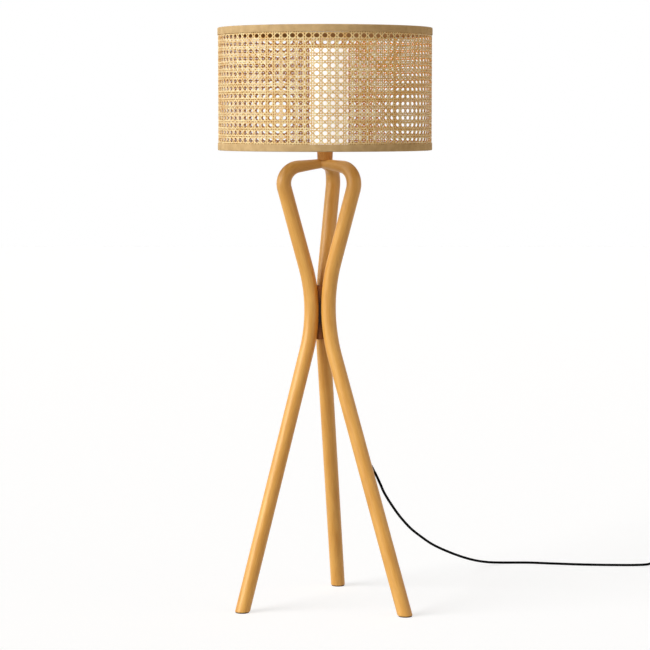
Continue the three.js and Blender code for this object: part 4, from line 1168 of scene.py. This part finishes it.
class LAMP_OT_core(bpy.types.Operator):
    """Builds the core at the waist, fluted where the poles press on it"""

    bl_idname = "lamp.core"
    bl_label = "Waist core"

    def execute(self, context):
        sizes = context.scene.lamp_poles
        low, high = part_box("waist_core")
        middle = Vector((sizes.waist_shift, 0, 0))
        radius = max(high.x - middle.x, middle.x - low.x, high.y, -low.y)
        bar = turned_at(rounded(post(radius, low.z, high.z), 5 * MM, 6), middle, 64)
        # The core's finish paints the shade that the poles cast on it
        finish = core_painted_shade_finish(context.scene.lamp_colours, low.z, high.z)
        piece("fluted_core", carved(bar, *pole_cutters(sizes)), finish, "dark_rattan", "waist_core")
        return {"FINISHED"}


class LAMP_OT_feet(bpy.types.Operator):
    """Builds the pads under the poles"""

    bl_idname = "lamp.feet"
    bl_label = "Feet"

    def execute(self, context):
        felt = felt_finish(context.scene.lamp_colours)
        for side in SIDES:
            low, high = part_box(f"foot_pad_{side}")
            middle = (low + high) / 2
            profile = rounded(post((high.x - low.x) / 2, 0, high.z - low.z), 0.5 * MM, 3)
            form = turned_at(profile, Vector((middle.x, middle.y, low.z)), 48)
            piece(f"felt_{side}", form, felt, "felt", f"foot_pad_{side}")
        return {"FINISHED"}


# The webbing is stretched by hand round the shade. Degrees from the front, to the right: where a column
# of an even webbing would be, and where it is
STRETCHED_PLACES = [(-177.93, -180), (-148.97, -152.46), (0, 0), (182.07, 180)]


def stretched(form):
    """Turns each point of an even webbing to its place round the shade."""
    for vert in form.verts:
        even = math.degrees(math.atan2(vert.co.x, -vert.co.y))
        if even < STRETCHED_PLACES[0][0]:
            even += 360
        for (low, low_place), (high, high_place) in zip(STRETCHED_PLACES, STRETCHED_PLACES[1:]):
            if even <= high:
                break
        place = low_place + (high_place - low_place) * (even - low) / (high - low)
        vert.co.rotate(Matrix.Rotation(math.radians(place - even), 3, "Z"))
    return form


CROSSINGS = 4


class LAMP_OT_weave(bpy.types.Operator):
    """Weaves the cane wall: paired uprights, paired hoops and two sets of slanting strands"""

    bl_idname = "lamp.weave"
    bl_label = "Cane weave"

    def execute(self, context):
        sizes = context.scene.lamp_shade
        cane = cane_finish(context.scene.lamp_colours, sizes.strand_width / 2)
        low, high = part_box("cane_wall")
        self.sizes = sizes
        self.low = low.z
        self.high = high.z
        self.zero = node_low("trim_bottom").z
        self.radius = high.x - sizes.wave - sizes.strand_thickness / 2
        self.step = 2 * math.pi / sizes.columns
        self.tones = random.Random(5)
        forms = [stretched(form) for form in (self.uprights(), self.hoops(), self.slants())]
        piece("cane_uprights", forms[0], cane, "cane", "cane_wall", sharp=70)
        piece("cane_hoops", forms[1], cane, "cane", sharp=70)
        piece("cane_slants", forms[2], cane, "cane", sharp=70)
        return {"FINISHED"}

    def place(self, column, height, lift, heading_share, along):
        """A station at a column and height, lifted off the wall's middle radius."""
        swing = self.step * (column - 0.5) - math.pi / 2
        outward = Vector((math.cos(swing), math.sin(swing), 0))
        tangent = Vector((-math.sin(swing), math.cos(swing), 0))
        sideways_share, upward_share = heading_share
        heading = (tangent * sideways_share + UPRIGHT * upward_share).normalized()
        point = outward * (self.radius + lift) + UPRIGHT * height
        size = (self.sizes.strand_thickness / math.sqrt(3), self.sizes.strand_width / 2)
        return station(point, heading, outward, size, along)

    def add_copy(self, whole, strand):
        values = strand.attributes.get("tone") or strand.attributes.new("tone", "FLOAT", "POINT")
        values.data.foreach_set("value", [self.tones.random()] * len(strand.vertices))
        whole.from_mesh(strand)

    def repeated(self, runs):
        """The strands along two runs of stations, repeated round the shade."""
        strands = [mesh_of(bar_along(places, 6), "strand") for places in runs]
        whole = bmesh.new()
        turn = Matrix.Rotation(self.step, 4, "Z")
        for _ in range(self.sizes.columns):
            for strand in strands:
                self.add_copy(whole, strand)
                strand.transform(turn)
        return whole

    def heights(self, shift=0.0):
        """Heights from the lower to the upper edge at even shares of a row, with those shares."""
        row = self.sizes.row
        first = math.ceil((self.low - self.zero) / row * CROSSINGS - shift)
        last = math.floor((self.high - self.zero) / row * CROSSINGS - shift)
        inner = [self.zero + row * (index + shift) / CROSSINGS for index in range(first, last + 1)]
        heights = [self.low, *[z for z in inner if self.low < z < self.high], self.high]
        return [(height, (height - self.zero) / row) for height in heights]

    def uprights(self):
        """Pairs that pass over one slant and under the other, and swap at the hoops."""
        half = self.sizes.pair_half / (self.step * self.radius)
        runs = []
        for side in (-1, 1):
            places = []
            for height, share in self.heights(0.5):
                lift = side * self.sizes.wave * math.sin(4 * math.pi * share)
                places.append(self.place(side * half, height, lift, (0, 1), height))
            runs.append(places)
        return self.repeated(runs)

    def hoops(self):
        sizes = self.sizes
        whole = bmesh.new()
        rows = range(math.ceil((self.high - self.low) / sizes.row) + 1)
        for side in (1, -1):
            places = []
            for index in range(sizes.columns * CROSSINGS):
                share = (index + 0.5) / CROSSINGS
                lift = -side * sizes.wave * math.sin(4 * math.pi * share)
                places.append(self.place(share, 0, lift, (1, 0), share * self.step * self.radius))
            strand = mesh_of(bar_along(places, 6, looped=True), "strand")
            for row in rows:
                height = self.zero + row * sizes.row + side * sizes.pair_half
                if self.low + sizes.strand_width / 2 < height < self.high - sizes.strand_width / 2:
                    strand.transform(Matrix.Translation((0, 0, height)))
                    self.add_copy(whole, strand)
                    strand.transform(Matrix.Translation((0, 0, -height)))
        return whole

    def slants(self):
        rise = self.sizes.row
        run = self.step * self.radius
        runs = []
        for way in (1, -1):
            places = []
            for height, share in self.heights():
                lift = way * self.sizes.wave * math.cos(2 * math.pi * share)
                along = share * math.hypot(rise, run)
                places.append(self.place(way * (share - 0.5), height, lift, (way * run, rise), along))
            runs.append(places)
        return self.repeated(runs)


THREAD_HOLE = 5.3 * MM
WIRE_SIDES = 10


class LAMP_OT_shade_edges(bpy.types.Operator):
    """Builds the folded tapes, the wire rings and the carrier of the shade"""

    bl_idname = "lamp.shade_edges"
    bl_label = "Shade edges"

    def execute(self, context):
        sizes = context.scene.lamp_shade
        colours = context.scene.lamp_colours
        poles = context.scene.lamp_poles
        azimuths = [poles.left_azimuth, poles.right_azimuth, poles.back_azimuth]
        steel = metal_finish("wire_metal", colours.steel, 0.32)
        skin = sizes.tape_thickness
        half = sizes.wire / 2
        ring_middle = {}
        for word, inward in (("bottom", 1), ("top", -1)):
            low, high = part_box(f"trim_{word}")
            edge = low.z if inward > 0 else high.z
            outside = high.x
            ring_low, ring_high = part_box(f"{word}_ring")
            inside = ring_high.x - sizes.wire - SEAT_GAP
            tape = tape_finish(colours, inside, skin)
            outer_edge = edge + inward * sizes.tape_width
            inner_edge = edge + inward * sizes.tape_inner
            fold = edge + inward * skin
            profile = [
                (outside - skin, outer_edge), (outside, outer_edge), (outside, edge), (inside - skin, edge),
                (inside - skin, inner_edge), (inside, inner_edge), (inside, fold), (outside - skin, fold)
            ]
            folded = turned(rounded([*profile, profile[0]], 2.2 * MM, 4)[:-1], 176)
            level = (ring_low.z + ring_high.z) / 2
            ring_middle[word] = level
            if word == "bottom":
                folded = carved(folded, *self.notches(azimuths, half, inside, level))
            piece(f"tape_{word}", folded, tape, "tape", f"trim_{word}", sharp=60)
            wire = []
            for step in range(WIRE_SIDES):
                swing = 2 * math.pi * step / WIRE_SIDES
                wire.append((ring_high.x - half * (1 - math.cos(swing)), level + half * math.sin(swing)))
            piece(f"wire_{word}", turned(wire, 132), steel, "steel", f"{word}_ring")
        carrier = self.carrier(azimuths, half, inside, ring_middle["bottom"])
        piece("carrier", carrier, steel, "steel", "shade_carrier")
        return {"FINISHED"}

    def notches(self, azimuths, arm, inside, level):
        """Cutters for the arms' ends in the lower tape."""
        width = 2 * (arm + SEAT_GAP)
        out = []
        for azimuth in azimuths:
            room = block((inside, width, width), Vector((inside / 2, 0, level)))
            turn = Matrix.Rotation(azimuth, 3, "Z")
            bmesh.ops.rotate(room, verts=room.verts, cent=(0, 0, 0), matrix=turn)
            out.append(room)
        return out

    def carrier(self, azimuths, arm, ring_inner, ring_level):
        """The plate with its three arms out to the lower ring."""
        high = node_high("shade_carrier")
        plate = 22 * MM
        bottom = high.z - 1.5 * MM
        form = turned([(THREAD_HOLE, bottom), (plate, bottom), (plate, high.z), (THREAD_HOLE, high.z)], 64)
        bevelled(form, folds(form, 1), 0.3 * MM, 2)
        for azimuth in azimuths:
            outward = heading_of(azimuth)
            start = outward * (plate - arm)
            start.z = high.z - arm
            end = outward * ring_inner
            end.z = ring_level
            mesh = mesh_of(rod([start.lerp(end, share / 8) for share in range(9)], arm, 16), "arm")
            form.from_mesh(mesh)
            bpy.data.meshes.remove(mesh)
        return form


class LAMP_OT_diffuser(bpy.types.Operator):
    """Builds the opal diffuser round the bulb"""

    bl_idname = "lamp.diffuser"
    bl_label = "Diffuser"

    def execute(self, context):
        low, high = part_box("diffuser_tube")
        radius = (high.y - low.y) / 2
        bore = radius - 2.5 * MM
        floor = 3 * MM
        profile = [
            (0, low.z), (radius, low.z), (radius, high.z), (bore, high.z), (bore, low.z + floor),
            (0, low.z + floor)
        ]
        tube = turned_at(rounded(profile, 1.1 * MM, 4), Vector(((low.x + high.x) / 2, 0, 0)), 96)
        # The hole for the threaded tube is on the lamp's axis
        hole = turned(post(THREAD_HOLE, low.z - floor, low.z + 2 * floor), 48)
        opal = opal_finish(context.scene.lamp_colours)
        piece("opal_tube", carved(tube, hole), opal, "opal", "diffuser_tube")
        return {"FINISHED"}


def rolled_thread(radius, depth, bottom, run, rings, phase):
    """The rounded rings of a lamp thread from the bottom up. They start on a crest if the phase is -1."""
    steps = rings * 8
    out = []
    for step in range(steps + 1):
        share = step / steps
        swing = depth * (1 + phase * math.cos(2 * math.pi * rings * share)) / 2
        out.append((radius - swing, bottom + run * share))
    return out


class LAMP_OT_lampholder(bpy.types.Operator):
    """Builds the lampholder: cap, body and threaded shell"""

    bl_idname = "lamp.lampholder"
    bl_label = "Lampholder"

    def execute(self, context):
        colours = context.scene.lamp_colours
        white = moulded_finish("holder_plastic", colours.white, 0.38)
        brass = metal_finish("brass_contact", colours.brass, 0.3)
        low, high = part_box("lampholder_cap")
        outer = (high.y - low.y) / 2
        foot = 15.5 * MM
        wall = 2 * MM
        middle = (low.z + high.z) / 2
        floor = low.z + 3 * MM
        cap = [
            (THREAD_HOLE, low.z), (foot, low.z), (outer, middle), (outer, high.z), (outer - wall, high.z),
            (outer - wall, middle), (foot - wall, floor), (THREAD_HOLE, floor)
        ]
        piece("holder_cap", turned(rounded(cap, 1.2 * MM, 4), 72), white, "white_plastic", "lampholder_cap")
        low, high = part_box("lampholder_body")
        bore = 17.5 * MM
        spigot = outer - wall - SEAT_GAP
        joint = node_high("lampholder_cap").z + SEAT_GAP
        collar = joint + 3 * MM
        sleeve = 19.75 * MM
        body = [(bore, low.z), (spigot, low.z), (spigot, joint)]
        body += [(outer, joint), (outer, collar), (sleeve, collar)]
        # Grip rings round the upper body
        rings = 7
        pitch = (high.z - collar - 4 * MM) / rings
        for ring in range(rings):
            start = collar + 2 * MM + ring * pitch
            for depth, share in ((0, 0), (0, 0.55), (0.5, 0.65), (0.5, 0.9)):
                body.append((sleeve - depth * MM, start + share * pitch))
        body += [(sleeve, high.z - 1.6 * MM), (sleeve, high.z), (bore, high.z)]
        form = turned(rounded(body, 0.3 * MM, 2), 72)
        piece("holder_body", form, white, "white_plastic", "lampholder_body")
        low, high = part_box("lampholder_shell")
        outer = 14.75 * MM
        bore = 13.8 * MM
        margin = 3 * MM
        thread = rolled_thread(outer, 0.35 * MM, low.z + margin, high.z - low.z - 2 * margin, 6, -1)
        shell = turned([(outer, low.z), *thread, (outer, high.z), (bore, high.z), (bore, low.z)], 48)
        piece("threaded_shell", shell, brass, "brass", "lampholder_shell")
        finish_nodes(["centre_contact"], brass)
        finish_nodes(["lampholder_insert"], white)
        steel = metal_finish("tube_metal", colours.steel, 0.34)
        finish_nodes(["threaded_tube", "neck_washer", "tube_nut"], steel)
        finish_nodes(["neck_screw_left", "neck_screw_back"], steel)
        return {"FINISHED"}


class LAMP_OT_bulb(bpy.types.Operator):
    """Builds the bulb: glass, threaded cap, insulator and contact"""

    bl_idname = "lamp.bulb"
    bl_label = "Bulb"

    def execute(self, context):
        colours = context.scene.lamp_colours
        low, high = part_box("bulb_glass")
        globe = (high.y - low.y) / 2
        neck = 13.5 * MM
        centre = high.z - globe
        profile = [(0, low.z), (neck - 0.6 * MM, low.z), (neck, low.z + 0.8 * MM)]
        steps = 12
        for step in range(1, steps):
            share = step / steps
            profile.append((neck + (globe - neck) * eased(share), low.z + (centre - low.z) * share))
        steps = 16
        for step in range(steps):
            swing = math.pi / 2 * step / steps
            profile.append((globe * math.cos(swing), centre + globe * math.sin(swing)))
        profile.append((0, high.z))
        glass = glass_finish(colours)
        piece("glass", turned(profile, 56), glass, "bulb_glass", "bulb_glass", body="bulb")
        low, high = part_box("bulb_cap")
        radius = (high.y - low.y) / 2
        thread = rolled_thread(radius, 0.9 * MM, low.z + 1.5 * MM, high.z - low.z - 5 * MM, 5, 1)
        cap = [(0, low.z), (radius - 1.2 * MM, low.z), *thread]
        cap += [(radius, high.z - 2.6 * MM), (radius, high.z), (0, high.z)]
        plated = metal_finish("cap_metal", colours.steel, 0.28)
        piece("screw_cap", turned(cap, 48), plated, "brass", "bulb_cap", body="bulb")
        low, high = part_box("bulb_insulator")
        contact_low, contact_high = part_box("bulb_contact")
        contact = (contact_high.y - contact_low.y) / 2
        shape = [(0, low.z), (contact, low.z), ((high.y - low.y) / 2, high.z), (0, high.z)]
        black = moulded_finish("insulator_glass", colours.black, 0.22, grain=0.03)
        form = turned(rounded(shape, 0.6 * MM, 3), 40)
        piece("insulator", form, black, "black_plastic", "bulb_insulator", body="bulb")
        button = [
            (0, contact_low.z), (contact * 0.6, contact_low.z), (contact, contact_low.z + 0.9 * MM),
            (contact, contact_high.z), (0, contact_high.z)
        ]
        form = turned(rounded(button, 0.4 * MM, 3), 32)
        solder = metal_finish("solder", colours.steel, 0.4)
        piece("contact_button", form, solder, "brass", "bulb_contact", body="bulb_lift")
        return {"FINISHED"}


# How the lead turns from the neck into the right pole, and how finely it is built
LEAD_TURN_HEIGHT = 5.5 * MM
LEAD_TURN_REACH = 30 * MM
LEAD_TURN_RADIUS = 24 * MM
LEAD_STEP = 20 * MM
LEAD_BEND_STEP = math.radians(6)


class LAMP_OT_inner_lead(bpy.types.Operator):
    """Builds the lead inside the lamp, from the lampholder to where it leaves the pole"""

    bl_idname = "lamp.inner_lead"
    bl_label = "Inner lead"

    def execute(self, context):
        sizes = context.scene.lamp_poles
        radius = context.scene.lamp_cord.diameter / 2
        pole = pole_corners(sizes, "right")
        hub, loop, waist, _ = pole
        turn, heading, mouth = exit_places(sizes)
        top = Vector((0, 0, node_high("inner_lead").z))
        in_neck = Vector((0, 0, node_low("neck").z + LEAD_TURN_HEIGHT))
        in_pole = hub + (loop - hub).normalized() * LEAD_TURN_REACH
        corners = [top, in_neck, in_pole, loop, waist, turn, mouth + heading * RELIEF_LENGTH]
        bends = [LEAD_TURN_RADIUS] * 2 + [sizes.loop_bend, sizes.waist_bend, EXIT_TURN_RADIUS]
        run = bent_run(corners, bends, LEAD_STEP, LEAD_BEND_STEP)
        form = bar_along(round_stations(run, sideways(pole), lambda along: radius), 12)
        piece("lead_inside", form, bpy.data.materials["cord_sheath"], "cord_black", "inner_lead")
        return {"FINISHED"}


# The floor reaches far past the picture. A share of what the camera sees of it is its own glow
FLOOR_HALF = 14
FLOOR_GLOW = 3.2
GLOW_SHARE = 0.213
LIGHT_DISTANCE = 4


class LAMP_OT_stage(bpy.types.Operator):
    """Sets up the pale floor, the background and the studio lights"""

    bl_idname = "lamp.stage"
    bl_label = "Stage"

    def execute(self, context):
        view = context.scene.lamp_view
        form = bmesh.new()
        bmesh.ops.create_grid(form, x_segments=1, y_segments=1, size=FLOOR_HALF)
        floor = placed("floor", mesh_of(form, "floor"))
        floor.data.materials.append(self.floor_finish())
        self.world(context, view.sky)
        front = -math.pi / 2
        key = self.broad_light("key", front - view.key_azimuth, view.key_height, view.key_spread)
        key.energy = view.key_strength
        fill = self.broad_light("fill", front + view.fill_azimuth, view.fill_height, view.fill_spread)
        fill.energy = view.fill_strength
        fill.color = view.fill_colour
        context.scene.view_settings.view_transform = "Standard"
        return {"FINISHED"}

    def floor_finish(self):
        """White to the camera, with a share of the real light so that the shadow stays."""
        finish = Finish("floor_paper")
        paper = finish.done((0.5, 0.5, 0.5, 1), 0.9)
        share = finish.math("MULTIPLY", finish.to_camera(), GLOW_SHARE)
        white = finish.add("Emission", {"Strength": FLOOR_GLOW})
        mix = finish.add("MixShader", {0: share, 1: finish.shader.outputs[0], 2: white})
        finish.fill(finish.nodes["Material Output"], {"Surface": mix})
        return paper

    def world(self, context, strength):
        """Pure white to the camera, and a weaker light on the lamp."""
        studio = Nodes(bpy.data.worlds.new("studio"))
        level = {"To Min": strength, "To Max": 1, "Value": studio.to_camera()}
        values = {"Color": (1, 1, 1, 1), "Strength": studio.add("MapRange", level, "Result")}
        studio.fill(studio.nodes["Background"], values)
        context.scene.world = studio.owner

    def broad_light(self, name, azimuth, height, spread):
        """A broad light from one side that falls alike on the whole floor, so that it stays even."""
        data = bpy.data.lights.new(name, "SUN")
        data.angle = spread
        lamp = placed(name, data)
        towards = heading_of(azimuth, -height)
        lamp.location = towards * LIGHT_DISTANCE
        lamp.rotation_euler = towards.to_track_quat("Z", "Y").to_euler()
        return data


GROUPS = {
    "lamp_poles": LampPoleSizes, "lamp_shade": LampShadeSizes, "lamp_cord": LampCordSizes,
    "lamp_view": LampView, "lamp_colours": LampColours
}
STEPS = (
    LAMP_OT_camera, LAMP_OT_floor_cord, LAMP_OT_plug, LAMP_OT_wound_cord, LAMP_OT_foot_switch, LAMP_OT_poles,
    LAMP_OT_neck, LAMP_OT_core, LAMP_OT_feet, LAMP_OT_weave, LAMP_OT_shade_edges, LAMP_OT_diffuser,
    LAMP_OT_lampholder, LAMP_OT_bulb, LAMP_OT_inner_lead, LAMP_OT_stage
)


class LAMP_PT_panel(bpy.types.Panel):
    """Lists the lamp's sizes, colours and building steps"""

    bl_idname = "LAMP_PT_panel"
    bl_label = "Rattan Floor Lamp"
    bl_space_type = "VIEW_3D"
    bl_region_type = "UI"
    bl_category = "Lamp"

    def draw(self, context):
        layout = self.layout
        for step in STEPS:
            layout.operator(step.bl_idname)
        for group in GROUPS:
            settings = getattr(context.scene, group)
            box = layout.box()
            for name in settings.__annotations__:
                box.prop(settings, name)


def register():
    for group, kind in GROUPS.items():
        bpy.utils.register_class(kind)
        setattr(bpy.types.Scene, group, PointerProperty(type=kind))
    for kind in (*STEPS, LAMP_PT_panel):
        bpy.utils.register_class(kind)


def unregister():
    for kind in reversed((*STEPS, LAMP_PT_panel)):
        bpy.utils.unregister_class(kind)
    for group, kind in reversed(GROUPS.items()):
        delattr(bpy.types.Scene, group)
        bpy.utils.unregister_class(kind)


def main():
    register()
    for step in STEPS:
        group, name = step.bl_idname.split(".")
        getattr(getattr(bpy.ops, group), name)()


if __name__ == "__main__":
    main()
